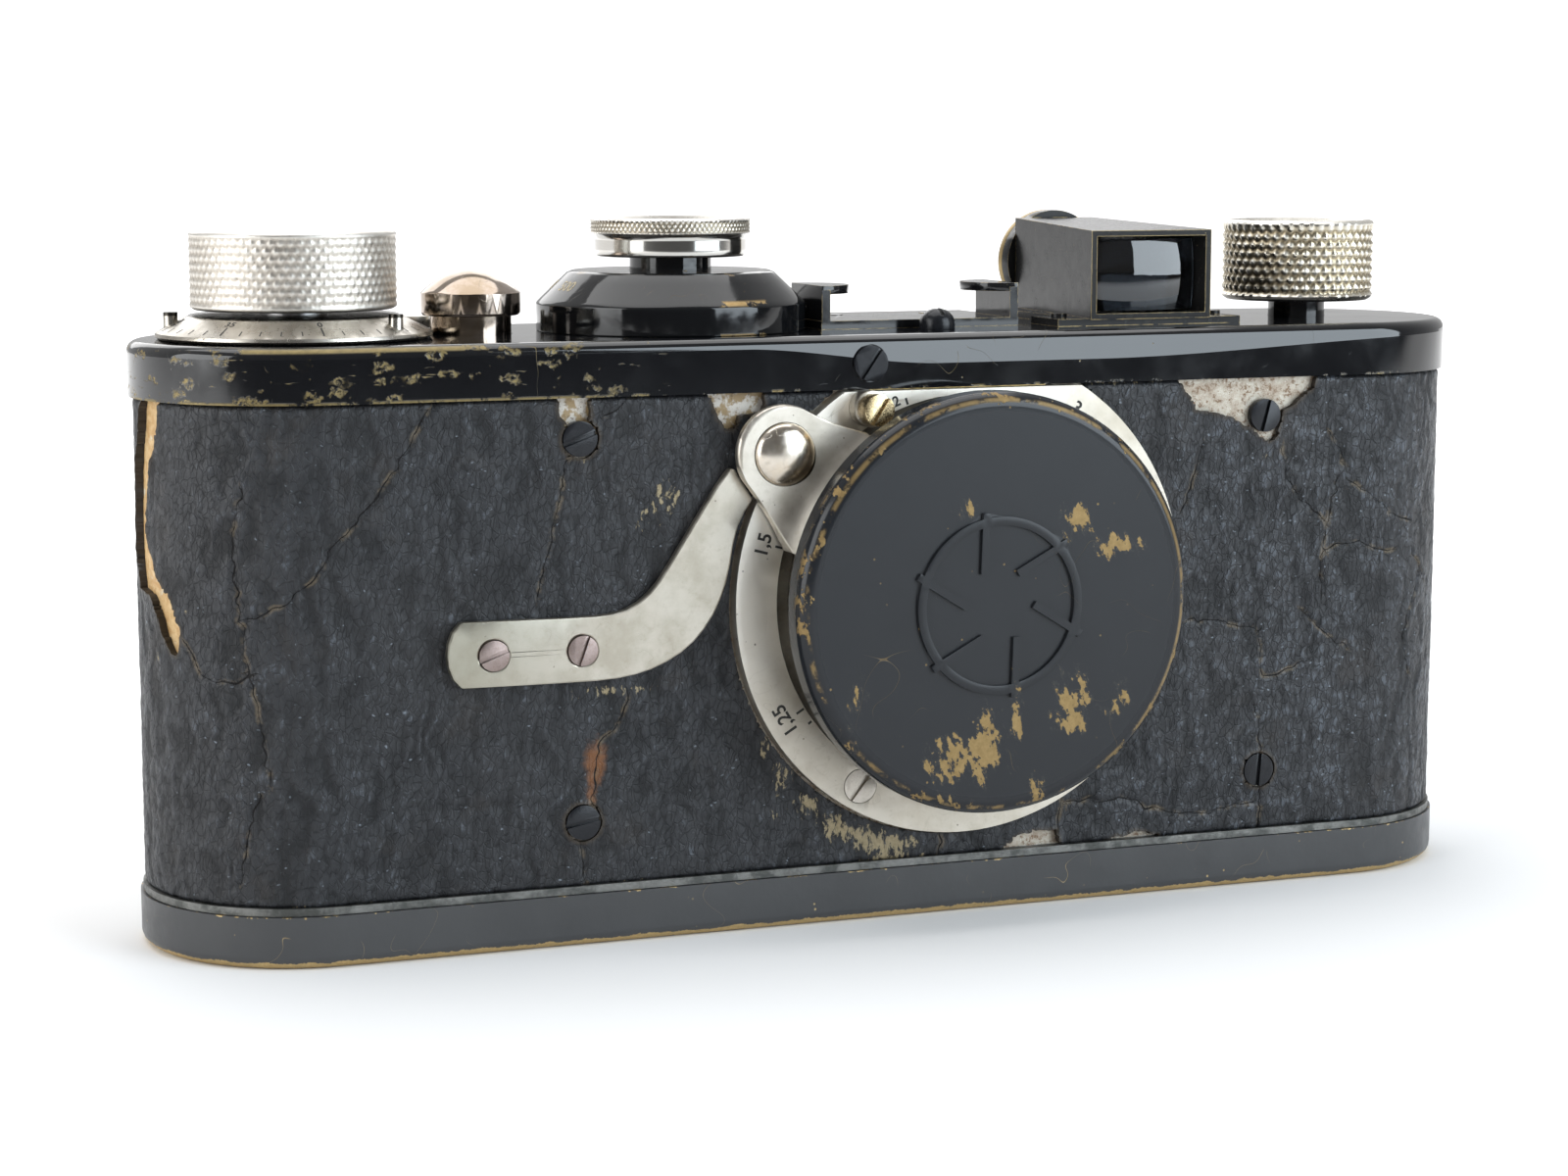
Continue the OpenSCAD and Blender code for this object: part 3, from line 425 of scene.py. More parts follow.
        # painted shade: everything above this height turns dark, the dial's top lying in shadow under the knob
        if painted_shade_z:
            col = s.mixc(s.ss(s.z, painted_shade_z, painted_shade_z + 0.1), col, (0.05, 0.045, 0.038))
        spot = s.mul(s.ss(s.vor(1.0), 0.13, 0.06), s.ss(s.noise(0.35, 2, off=(6, 2, 2)), 0.66 - 0.14 * spots, 0.72 - 0.14 * spots))
        col = s.mixc(s.mul(spot, 0.75), col, (0.10, 0.08, 0.06))
        if turned is None:
            g1 = s.noise(2.2, 2, 0.6, vec=s.vec(s.rot(s.p, (0.2, 0.5, 0.3)), (0.35, 6.0, 0.35)))
            g2 = s.noise(2.2, 2, 0.6, vec=s.vec(s.rot(s.p, (0.1, -0.9, 0.1)), (6.0, 0.3, 0.3)))
            grain = s.add(s.mul(g1, 0.5), s.mul(g2, 0.5))
        else:
            a, b, ca, cb = turned
            u, v = s.sub(getattr(s, a), ca), s.sub(getattr(s, b), cb)
            rr = s.f("SQRT", s.add(s.mul(u, u), s.mul(v, v)))
            third = {"xy": s.z, "xz": s.y}[a + b]
            grain = s.noise(1.0, 3, 0.7, vec=s.comb(s.mul(rr, 9.0), s.mul(third, 9.0), 0.0))
        scr = s.mx(s.scratch(0.35, 0.0022, off=(1, 5, 9), gate=0.5), s.scratch(0.6, 0.003, off=(8, 5, 3), gate=0.55))
        col = s.mixc(s.mul(scr, 0.35), col, (0.22, 0.19, 0.15))
        rough = s.add(s.ss(s.noise(0.5, 4, 0.6, off=(9, 1, 5)), 0.3, 0.7, r0, r1), s.mul(s.sub(grain, 0.5), 0.12), s.mul(spot, 0.2))
        h = s.add(s.mul(grain, 0.006 * fine), s.mul(spot, -0.01), s.mul(scr, -0.006), s.mul(s.noise(0.5, 2), 0.004))
        return s.done(col, 1.0, rough, s.bump(h, 1.0))
    M["nickel_satin"] = nickel("nickel_satin")
    M["nickel_flange"] = nickel("nickel_flange", (0.56, 0.52, 0.45), (0.46, 0.415, 0.34), 0.38, 0.48, 0.6, turned=("x", "z", CX, CZ), lift=(1.0, -0.9, 26.0, 44.0, 0.85))
    M["nickel_strip"] = nickel("nickel_strip", (0.52, 0.485, 0.42), (0.40, 0.365, 0.30), 0.32, 0.44, 0.7, left_end_darker=(-27, -43, 0.6))
    M["nickel_lever"] = nickel("nickel_lever", (0.64, 0.595, 0.525), (0.50, 0.46, 0.39), 0.34, 0.44, 0.7, shade=(16.8, 22.2, 0.93))
    M["nickel_turned"] = nickel("nickel_turned", (0.62, 0.59, 0.53), (0.54, 0.50, 0.43), 0.24, 0.34, 0.3, turned=("x", "z", CX, CZ))
    M["nickel_dial"] = nickel("nickel_dial", (0.52, 0.49, 0.44), (0.38, 0.35, 0.30), 0.22, 0.34, 0.5, turned=("x", "y", WX, 0.0), painted_shade_z=T + 2.02)
    M["nickel_bright"] = nickel("nickel_bright", (0.70, 0.64, 0.56), (0.56, 0.45, 0.32), 0.16, 0.26, 0.9, 0.4, dirt=0.45)
    M["nickel_release"] = nickel("nickel_release", (0.42, 0.355, 0.31), (0.30, 0.235, 0.17), 0.07, 0.14, 0.6, 0.2, dirt=0.3)
    M["nickel_carrier"] = nickel("nickel_carrier", (0.16, 0.150, 0.130), (0.10, 0.090, 0.075), 0.30, 0.42, 0.4, turned=("x", "z", CX, CZ))
    M["nickel_ring"] = nickel("nickel_ring", (0.62, 0.60, 0.56), (0.52, 0.49, 0.44), 0.25, 0.4, 0.3)

    # ---- knurled nickel: brassy; valleys dark with dirt and painted shade, crests pale with rubbed metal and a painted highlight
    def knurl(name, top, mid_c, valley, r0, r1, skirt=0.0):
        s = Sh(name)
        cav = s.attr("crest")
        n1 = s.noise(0.35, 4, 0.6, off=(3, 3, 1))
        n2 = s.noise(2.5, 3, 0.6)
        # painted shade in the valleys and a painted highlight on the crests, together with rubbed crests
        c = s.mixc(s.ss(cav, 0.0, 0.55), valley, mid_c)
        c = s.mixc(s.ss(s.add(cav, s.mul(s.sub(n1, 0.5), 0.8)), 0.35, 0.9), c, top)
        c = s.mixc(s.mul(s.ss(n2, 0.55, 0.75), s.ss(cav, 0.9, 0.2), 0.5), c, (0.10, 0.075, 0.04))
        rough = s.add(s.ss(n1, 0.3, 0.7, r0, r1), s.mul(s.ss(cav, 0.5, 0.0), 0.15))
        h = s.add(s.mul(s.noise(5, 3), 0.008), s.mul(s.noise(1.2, 3), 0.012))
        if skirt:
            # turned and polished below the knurl, faint rings on it
            low = s.ss(s.z, skirt + 0.05, skirt - 0.05)
            ringn = s.noise(1.0, 3, 0.7, vec=s.comb(0.0, 0.0, s.mul(s.z, 9.0)))
            c = s.mixc(low, c, s.mixc(n1, (0.60, 0.585, 0.56), (0.50, 0.48, 0.44)))
            rough = s.mixf(low, rough, s.add(0.13, s.mul(s.sub(ringn, 0.5), 0.10)))
            h = s.mixf(low, h, s.mul(ringn, 0.0012))
        return s.done(c, 1.0, rough, s.bump(h, 1.0))
    M["knurl_wind"] = knurl("knurl_wind", (0.72, 0.69, 0.64), (0.64, 0.60, 0.54), (0.45, 0.405, 0.35), 0.34, 0.46)
    M["knurl_rewind"] = knurl("knurl_rewind", (0.84, 0.81, 0.74), (0.60, 0.54, 0.42), (0.22, 0.17, 0.10), 0.24, 0.36)
    M["knurl_speed"] = knurl("knurl_speed", (0.76, 0.73, 0.68), (0.58, 0.54, 0.46), (0.24, 0.20, 0.14), 0.22, 0.34, box_mm("speed_knob")[0][2] + 2.1)

    # ---- covering
    s = Sh("covering")
    h_at, crk, crm = s.attr("relief"), s.attr("crack"), s.attr("crackmask")
    tear, scuff, rust, rub_and_glint = s.attr("tear"), s.attr("scuff"), s.attr("rust"), s.attr("rub_and_glint")
    u, w = s.attr("u_mm"), s.attr("w_mm")
    q = s.comb(u, w, 0.0)
    wq = s.vadd(q, s.vec(s.vadd(s.noise(0.8, 2, 0.5, vec=q, col=True), (-0.5, -0.5, -0.5)), (0.8, 0.8, 0.0)))
    cells = s.vor(1.0, vec=s.vec(wq, (1.9, 0.95, 1.0)), feature="DISTANCE_TO_EDGE")
    fine = s.noise(3.6, 4, 0.65, vec=s.vec(q, (1.5, 0.75, 1.0)))
    micro = s.noise(11.0, 3, 0.6, vec=q)
    groove = s.ss(cells, 0.10, 0.0)
    relief = s.add(s.mul(h_at, 0.75), s.mul(fine, 0.42), s.mul(groove, -0.25))
    tone = s.noise(0.06, 4, 0.6, vec=q, off=(3, 3, 3))
    # painted shade: the grain's hollows darker than its ridges
    base = s.mixc(s.ss(relief, 0.20, 0.90), (0.0062, 0.0068, 0.0082), (0.0285, 0.0303, 0.0345))
    base = s.mixc(s.mul(s.ss(tone, 0.42, 0.66), 0.25), base, (0.028, 0.0275, 0.0285))
    # sparse bluish specks where the crests have rubbed, more on the rewind side
    spk = s.mul(s.ss(s.vor(1.15, vec=s.vec(wq, (1.0, 1.5, 1.0))), 0.20, 0.08), s.ss(s.add(s.noise(0.5, 3, 0.6, vec=q, off=(6, 1, 0)), s.mul(rub_and_glint, 0.10), s.mul(micro, 0.1)), 0.64, 0.72))
    # painted highlight: bluish glints on the grain's crests
    crest = s.mul(s.ss(s.add(relief, s.mul(micro, 0.3), s.mul(rub_and_glint, 0.10)), 0.98, 1.14), 0.70)
    # painted shade: darker over the left part of the front, not round the left end
    base = s.mixc(s.mul(s.ss(u, 5, -45), s.ss(u, -60, -50), 0.42), base, s.mixc(0.5, base, (0.009, 0.0095, 0.0115)))
    col = s.mixc(crest, base, (0.085, 0.097, 0.115))
    col = s.mixc(s.mul(spk, 0.85), col, (0.17, 0.195, 0.225))
    brown = s.mul(s.ss(s.noise(0.14, 4, 0.62, vec=q, off=(9, 2, 0)), 0.55, 0.72), 0.20)
    col = s.mixc(brown, col, (0.048, 0.038, 0.030))
    # tan scuffs: short upright strokes along the wrinkles
    stroke = s.noise(1.0, 4, 0.62, vec=s.vec(wq, (2.1, 0.75, 1.0)), off=(2, 0, 0))
    sc = s.ss(s.add(s.mul(scuff, 0.34), s.mul(stroke, 0.85), s.mul(micro, 0.12)), 0.755, 0.825)
    sc = s.mul(sc, s.ss(scuff, 0.08, 0.35))
    col = s.mixc(s.mul(sc, 0.92), col, s.mixc(s.noise(2.2, 3, 0.6, vec=q), (0.20, 0.155, 0.085), (0.46, 0.385, 0.24)))
    # rusty stain
    rs = s.ss(s.add(rust, s.mul(s.noise(1.4, 4, 0.65, vec=q), 0.9)), 0.78, 1.35)
    col = s.mixc(s.mul(rs, 0.85), col, s.mixc(micro, (0.10, 0.035, 0.012), (0.26, 0.105, 0.032)))
    # cracks: black line with a paler lip in places
    jig = s.mul(s.sub(s.noise(3.0, 3, 0.6, vec=q), 0.5), 0.14)
    d = s.ab(s.add(crk, jig))
    wid = s.ss(s.noise(0.35, 2, 0.5, vec=q, off=(1, 7, 0)), 0.35, 0.7, 0.022, 0.085)
    line = s.mul(s.ss(s.f("DIVIDE", d, wid), 1.25, 0.7), crm)
    lipm = s.mul(s.ss(d, 0.40, 0.10), crm, s.ss(s.noise(0.5, 3, 0.6, vec=q, off=(4, 4, 0)), 0.46, 0.62))
    col = s.mixc(s.mul(lipm, 0.40), col, s.mixc(micro, (0.12, 0.09, 0.055), (0.30, 0.23, 0.14)))
    col = s.mixc(line, col, (0.006, 0.005, 0.005))
    # torn rims
    tr = s.ss(s.add(tear, s.mul(s.sub(fine, 0.5), 0.5)), 0.45, 0.05)
    col = s.mixc(s.mul(tr, 0.55), col, (0.055, 0.040, 0.025))
    rough = s.add(s.ss(relief, 0.2, 0.9, 0.56, 0.33), s.mul(sc, 0.2), s.mul(line, 0.3))
    hh = s.add(s.mul(relief, 0.15), s.mul(micro, 0.012), s.mul(line, -0.07), s.mul(s.ss(d, 0.4, 0.1), crm, 0.015))
    M["covering"] = s.done(col, 0.0, rough, s.bump(hh, 1.0, 0.9), spec=0.34)

    # ---- bare shell: silver where the covering has come off, orange at the winding end
    s = Sh("shell_bare")
    n1 = s.noise(0.5, 5, 0.65)
    n2 = s.noise(2.6, 5, 0.7, off=(3, 1, 1))
    n3 = s.noise(1.1, 4, 0.6, off=(7, 7, 7))
    silver = s.mixc(s.ss(n1, 0.35, 0.65), (0.49, 0.455, 0.385), (0.35, 0.29, 0.225))
    silver = s.mixc(s.ss(n2, 0.49, 0.64), silver, (0.20, 0.125, 0.075))
    silver = s.mixc(s.ss(s.noise(3.6, 4, 0.6, off=(1, 2, 9)), 0.62, 0.74), silver, (0.68, 0.64, 0.58))
    tan = s.mixc(s.ss(n3, 0.35, 0.65), (0.50, 0.29, 0.11), (0.66, 0.47, 0.24))
    tan = s.mixc(s.ss(n2, 0.60, 0.74), tan, (0.20, 0.09, 0.03))
    tan = s.mixc(s.ss(s.noise(0.8, 3, off=(4, 4, 4)), 0.60, 0.72), tan, (0.62, 0.56, 0.44))
    mixt = s.mixc(s.ss(n3, 0.42, 0.55), (0.34, 0.24, 0.12), (0.62, 0.58, 0.52))
    mixt = s.mixc(s.ss(n2, 0.55, 0.7), mixt, (0.12, 0.07, 0.03))
    wt = s.ss(s.x, -55, -58)
    wm = s.mul(s.ss(s.x, -4, -8), s.ss(s.z, 44, 46))
    col = s.mixc(wm, silver, mixt)
    col = s.mixc(wt, col, tan)
    lipz = s.band(s.z, 4.8, 5.6, 0.05)
    col = s.mixc(lipz, col, s.mixc(s.ss(s.noise(0.45, 4, 0.65, off=(5, 0, 2)), 0.38, 0.62), (0.085, 0.088, 0.083), (0.20, 0.20, 0.19)))
    met = s.mx(s.mul(s.inv(wt), s.inv(wm), 0.45), s.mul(lipz, 0.85))
    rough = s.ss(n2, 0.3, 0.7, 0.36, 0.6)
    h = s.add(s.mul(n2, 0.06), s.mul(n1, 0.06))
    M["shell_bare"] = s.done(col, met, rough, s.bump(h, 1.0))

    # ---- small steels, screws, cast parts, cloth, brass
    def plain_metal(name, c0, c1, r0, r1, met=1.0, sc=1.0, rust=0.0, spec=0.5):
        s = Sh(name)
        n1 = s.noise(0.8 * sc, 4, 0.6)
        n2 = s.noise(3.0 * sc, 4, 0.65, off=(1, 4, 2))
        col = s.mixc(n1, c0, c1)
        if rust:
            col = s.mixc(s.mul(s.ss(n2, 0.5, 0.7), rust), col, (0.15, 0.07, 0.04))
        rough = s.ss(n2, 0.3, 0.7, r0, r1)
        h = s.add(s.mul(n2, 0.015), s.mul(s.noise(9 * sc, 2), 0.004))
        return s.done(col, met, rough, s.bump(h, 1.0), spec=spec)
    M["steel"] = plain_metal("steel", (0.45, 0.45, 0.45), (0.58, 0.57, 0.56), 0.25, 0.4)
    M["screw_dark"] = plain_metal("screw_dark", (0.008, 0.009, 0.011), (0.022, 0.023, 0.027), 0.12, 0.22, 0.15, 2.0, 0.0, 0.30)
    M["screw_worn"] = plain_metal("screw_worn", (0.20, 0.155, 0.14), (0.36, 0.29, 0.27), 0.28, 0.42, 0.85, 2.0, 0.4)
    M["screw_nickel"] = plain_metal("screw_nickel", (0.50, 0.46, 0.40), (0.62, 0.58, 0.52), 0.28, 0.42, 1.0, 2.0, 0.15)
    M["brass"] = plain_metal("brass", (0.50, 0.345, 0.13), (0.66, 0.50, 0.24), 0.22, 0.40, 1.0, 1.0, 0.25)
    M["brass_screw"] = plain_metal("brass_screw", (0.50, 0.37, 0.19), (0.66, 0.54, 0.33), 0.18, 0.32, 1.0, 1.6, 0.1)
    M["eyepiece"] = plain_metal("eyepiece", (0.22, 0.16, 0.07), (0.42, 0.31, 0.14), 0.3, 0.45, 0.9, 1.0, 0.3)
    M["cast"] = plain_metal("cast", (0.30, 0.30, 0.30), (0.42, 0.42, 0.42), 0.45, 0.6)
    M["spool"] = plain_metal("spool", (0.03, 0.03, 0.03), (0.06, 0.06, 0.06), 0.4, 0.55, 0.0)
    s = Sh("cloth")
    wv = s.mul(s.f("SINE", s.mul(s.add(s.x, s.y), 16.0)), s.f("SINE", s.mul(s.z, 16.0)))
    M["cloth"] = s.done(s.mixc(s.ss(wv, -1, 1), (0.012, 0.012, 0.013), (0.030, 0.030, 0.032)), 0, 0.7, s.bump(wv, 0.02), sheen=0.2)

    # ---- glass
    def glass(name, tint, r):
        s = Sh(name)
        sm = s.noise(0.6, 3)
        m = s.done(tint, 0.0, s.ss(sm, 0.3, 0.8, r, r + 0.03), s.bump(sm, 0.01), trans=1.0, ior=1.52, coat=0.6, coat_rough=0.02)
        return m
    M["glass"] = glass("glass", (0.93, 0.96, 0.97), 0.0)
    M["glass_dark"] = glass("glass_dark", (0.040, 0.048, 0.060), 0.0)
    # ---- lettering paint
    s = Sh("mark_paint")
    M["mark_paint"] = s.done(s.mixc(s.noise(4, 3), (0.008, 0.008, 0.008), (0.03, 0.028, 0.025)), 0, 0.6)
    return M


M = make_materials()

# ------------------------------------------------------------------ CAD nodes: materials and soft edges
def soft_group(name, limit):
    g = bpy.data.node_groups.new(name, "GeometryNodeTree")
    g.interface.new_socket("Geometry", in_out="INPUT", socket_type="NodeSocketGeometry")
    g.interface.new_socket("Geometry", in_out="OUTPUT", socket_type="NodeSocketGeometry")
    N, L = g.nodes, g.links
    i, o = N.new("NodeGroupInput"), N.new("NodeGroupOutput")
    rm = N.new("GeometryNodeRemoveAttribute")
    rm.inputs["Name"].default_value = "custom_normal"
    ea = N.new("GeometryNodeInputMeshEdgeAngle")
    c = N.new("FunctionNodeCompare")
    c.data_type, c.operation = "FLOAT", "GREATER_THAN"
    c.inputs[1].default_value = math.radians(limit)
    s1, s2 = N.new("GeometryNodeSetShadeSmooth"), N.new("GeometryNodeSetShadeSmooth")
    s1.domain, s2.domain = "FACE", "EDGE"
    s2.inputs["Shade Smooth"].default_value = False
    L.new(i.outputs[0], rm.inputs["Geometry"])
    L.new(rm.outputs["Geometry"], s1.inputs["Geometry"])
    L.new(s1.outputs[0], s2.inputs["Geometry"])
    L.new(ea.outputs["Unsigned Angle"], c.inputs[0])
    L.new(c.outputs[0], s2.inputs["Selection"])
    L.new(s2.outputs[0], o.inputs[0])
    return g


SOFT = soft_group("soft_normals", 36)
CRISP = soft_group("crisp_normals", 20)


def soften(o, bevel=0.0, segs=2, crisp=False):
    w = o.modifiers.new("weld", "WELD")
    w.merge_threshold = 2e-6
    if bevel:
        b = o.modifiers.new("bevel", "BEVEL")
        b.width, b.segments, b.limit_method, b.angle_limit = bevel * MM, segs, "ANGLE", math.radians(36)
        b.use_clamp_overlap = True
    o.modifiers.new("normals", "NODES").node_group = CRISP if crisp else SOFT
    if crisp:
        return
    wn = o.modifiers.new("weighted", "WEIGHTED_NORMAL")
    wn.mode, wn.weight, wn.keep_sharp = "FACE_AREA", 50, True


look = {
    "body_shell": ("shell_bare", 0), "top_plate": ("enamel_top", 0), "top_plate_screw_front": ("screw_dark", 0.06), "top_plate_screw_rear": ("screw_dark", 0.06),
    "body_screws": ("screw_dark", 0.06), "chassis": ("cast", 0), "film_gate": ("inner_black", 0), "pressure_plate": ("steel", 0), "pressure_springs": ("steel", 0),
    "first_curtain": ("cloth", 0), "curtain_rollers_a": ("steel", 0), "curtain_rollers_b": ("steel", 0), "accessory_shoe": ("shoe_black", 0.12),
    "shoe_screw": ("screw_dark", 0.08), "finder_housing": ("finder_black", 0.16), "finder_eyepiece": ("eyepiece", 0.05), "finder_eye_lens": ("glass", 0),
    "speed_boss": ("enamel_boss", 0.14), "helicoid_ring": ("brass", 0), "lens_flange": ("nickel_flange", 0.07), "flange_screw_lower": ("screw_nickel", 0.04),
    "flange_screw_side": ("screw_nickel", 0.04), "stop_collar": ("nickel_satin", 0.12), "stop_screw": ("brass_screw", 0.08), "catch_strip": ("nickel_strip", 0.16),
    "catch_screws": ("screw_worn", 0.07), "wind_shaft": ("steel", 0), "take_up_spool": ("spool", 0), "counter_dial": ("nickel_dial", 0.05),
    "sprocket_shaft": ("steel", 0), "release_button": ("nickel_release", 0.05), "release_spring": ("steel", 0), "drum_shaft": ("steel", 0),
    "second_curtain": ("cloth", 0), "speed_stem": ("enamel_boss", 0), "rewind_shaft": ("enamel_boss", 0), "clutch_lever": ("nickel_satin", 0.12),
    "helicoid_carrier": ("nickel_carrier", 0), "focus_tube": ("nickel_turned", 0), "infinity_button": ("nickel_bright", 0.03), "lens_tube": ("nickel_turned", 0),
    "front_ring": ("nickel_turned", 0.08), "aperture_ring": ("nickel_turned", 0.06), "lens_cell": ("inner_black", 0), "front_glass": ("glass", 0),
    "iris": ("inner_black", 0), "rear_glass": ("glass", 0), "lens_cap": ("cap_lacquer", 0.10), "base_plate": ("satin_base", 0), "tripod_bush": ("brass", 0.1),
    "lock_key": ("nickel_ring", 0.12), "lock_bar": ("steel", 0.1), "key_ring": ("nickel_ring", 0.15),
}
for n, (m, bev) in look.items():
    o = NODES[n]
    if not o.material_slots:
        o.data.materials.append(M[m])
    for sl in o.material_slots:
        sl.material = M[m]
    soften(o, bev, crisp=(n == "catch_strip"))


# ------------------------------------------------------------------ mesh helper
def new_piece(name, verts, faces, mat, body, replaces=(), angle=36, attrs=None, smooth=True):
    """verts in millimetres, frame coordinates."""
    me = bpy.data.meshes.new(name)
    me.from_pydata([tuple(v) for v in np.asarray(verts, float) * MM], [], [tuple(int(i) for i in f) for f in faces])
    me.validate()
    me.update()
    o = bpy.data.objects.new(name, me)
    bpy.context.scene.collection.objects.link(o)
    if smooth:
        me.polygons.foreach_set("use_smooth", [True] * len(me.polygons))
        me.set_sharp_from_angle(angle=math.radians(angle))
    for k, v in (attrs or {}).items():
        a = me.attributes.new(k, "FLOAT", "POINT")
        a.data.foreach_set("value", np.asarray(v, np.float32))
    me.materials.append(mat)
    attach(o, body)
    if replaces:
        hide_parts(*replaces)
    return o


def grid_faces(nu, nv, wrap=True, base=0):
    f = []
    for j in range(nv - 1):
        for i in range(nu if wrap else nu - 1):
            a, b = base + j * nu + i, base + j * nu + (i + 1) % nu
            f.append((a, b, b + nu, a + nu))
    return f


def tri(t):
    return 1 - 2 * np.abs(t - np.round(t))


def knurled(name, cx, cy, z0, prof, n_cells, per, row, zk0, zk1, depth, mat, body, replaces, jitter_seed, ridge=0.3):
    """A turned knob: prof is [(r, z)] from the lower centre up over the rim to the upper centre; between zk0 and zk1 its side is knurled."""
    nu = n_cells * per
    th = np.arange(nu) * 2 * math.pi / nu
    rs = np.random.RandomState(jitter_seed)
    rows = []
    for a, b in zip(prof[:-1], prof[1:]):
        long = math.hypot(b[0] - a[0], b[1] - a[1])
        if abs(a[0] - b[0]) < 1e-6 and a[1] <= zk0 + 1e-6 and b[1] >= zk1 - 1e-6:
            k = max(1, round((b[1] - a[1]) / (2 * row / per)))
        elif long > 1.5:
            k = 4
        else:
            k = 1
        for i in range(k):
            t = i / k
            rows.append((a[0] + (b[0] - a[0]) * t, a[1] + (b[1] - a[1]) * t))
    rows.append(prof[-1])
    V, C = [], []
    u = np.arange(nu) / per
    # cells differ a little in height
    cellh = rs.uniform(0.80, 1.0, (n_cells * 2 + 4, 64))
    for r, z in rows:
        if r < 1e-6:
            r = 1e-3
        fade = min(1.0, max(0.0, (z - zk0) / (row * 0.35)), max(0.0, (zk1 - z) / (row * 0.35))) if zk0 < z < zk1 else 0.0
        v = (z - zk0) / (2 * row)
        a_, b_ = u + v, u - v
        h = (1 - ridge) * ((0.5 + 0.5 * np.cos(2 * math.pi * a_)) * (0.5 + 0.5 * np.cos(2 * math.pi * b_))) ** 0.62 + ridge * (0.5 + 0.5 * math.cos(4 * math.pi * v))
        ia, ib = np.round(a_).astype(int) % (n_cells * 2), (np.round(b_).astype(int) + 40) % 64
        h = h * cellh[ia, ib]
        is_side = r > prof_max(prof) - 0.02
        amp = depth * (1.0 if is_side else 0.0)
        rr = r - amp * (1 - h) * fade if is_side else np.full(nu, r)
        V.append(np.stack([cx + rr * np.cos(th), cy + rr * np.sin(th), np.full(nu, z + z0)], 1))
        C.append(h * fade + (1 - fade) * 0.8 if is_side else np.full(nu, 0.82))
    V = np.concatenate(V)
    C = np.concatenate(C)
    F = grid_faces(nu, len(rows))
    # close the two centres
    F.append(tuple(range(nu - 1, -1, -1)))
    top = (len(rows) - 1) * nu
    F.append(tuple(range(top, top + nu)))
    return new_piece(name, V, F, mat, body, replaces, 60, {"crest": C})


def prof_max(p):
    return max(q[0] for q in p)


def arc(cx, cz, r, a0, a1, n):
    return [(cx + r * math.cos(math.radians(a0 + (a1 - a0) * i / n)), cz + r * math.sin(math.radians(a0 + (a1 - a0) * i / n))) for i in range(n + 1)]


# wind knob
lo, hi = box_mm("wind_knob")
wr, wz0, wz1 = (hi[0] - lo[0]) / 2, lo[2] - T, hi[2] - T
prof = [(0, wz0), (1.0, wz0), (wr - 1.2, wz0), (wr - 0.35, wz0), (wr - 0.06, wz0 + 0.18), (wr, wz0 + 0.35)]
prof += [(wr, wz1 - 0.62)] + [(wr - 0.05, wz1 - 0.48), (wr - 0.30, wz1 - 0.28), (wr - 0.75, wz1 - 0.14), (wr - 1.4, wz1 - 0.06)]
prof += [(wr - 2.2, wz1), (4.0, wz1), (1.0, wz1), (0.05, wz1)]
knurled("wind_knob_knurled", WX, 0, T, prof, 66, 8, 0.72, wz0 + 0.35, wz1 - 0.62, 0.14, M["knurl_wind"], "wind", ("wind_knob",), 3, 0.5)

# rewind knob
lo, hi = box_mm("rewind_knob")
rr_, z0_, z1_ = (hi[0] - lo[0]) / 2, lo[2] - T, hi[2] - T
prof = [(0, z0_), (1.0, z0_), (rr_ - 1.2, z0_), (rr_ - 0.55, z0_), (rr_ - 0.15, z0_ + 0.25), (rr_, z0_ + 0.5), (rr_, z1_ - 0.35), (rr_ - 0.15, z1_ - 0.12), (rr_ - 0.45, z1_),
        (rr_ - 1.0, z1_), (rr_ - 1.3, z1_ - 0.25), (4.0, z1_ - 0.25), (1.0, z1_ - 0.25), (0.05, z1_ - 0.25)]
knurled("rewind_knob_knurled", RX, 0, T, prof, 46, 8, 0.845, z0_ + 0.5, z1_ - 0.35, 0.36, M["knurl_rewind"], "rewind", ("rewind_knob",), 5, 0.42)

# speed knob: polished skirt under a finely knurled rim
lo, hi = box_mm("speed_knob")
sr, sz0, sz1 = (hi[0] - lo[0]) / 2, lo[2] - T, hi[2] - T
prof = [(0, sz0), (1.0, sz0), (5.0, sz0), (6.9, sz0), (7.06, sz0 + 0.08), (7.13, sz0 + 0.25), (7.13, sz0 + 1.95), (7.30, sz0 + 2.05), (sr - 0.08, sz0 + 2.12), (sr, sz0 + 2.2),
        (sr, sz1 - 0.18), (sr - 0.12, sz1 - 0.06), (sr - 0.35, sz1), (6.5, sz1), (6.2, sz1 - 0.28), (4.0, sz1 - 0.30), (1.0, sz1 - 0.30), (0.05, sz1 - 0.30)]
knurled("speed_knob_knurled", DX, 0, T, prof, 92, 6, 0.36, sz0 + 2.2, sz1 - 0.18, 0.14, M["knurl_speed"], "speed_dial", ("speed_knob",), 7, 0.15)


# ------------------------------------------------------------------ covering
def rng_noise(seed):
    rs = np.random.RandomState(seed)
    tab = rs.uniform(-1, 1, (256, 256))

    def f(x, y):
        xi, yi = np.floor(x).astype(int), np.floor(y).astype(int)
        fx, fy = x - xi, y - yi
        fx, fy = fx * fx * (3 - 2 * fx), fy * fy * (3 - 2 * fy)
        g = lambda i, j: tab[(xi + i) % 256, (yi + j) % 256]
        return (g(0, 0) * (1 - fx) + g(1, 0) * fx) * (1 - fy) + (g(0, 1) * (1 - fx) + g(1, 1) * fx) * fy
    return f


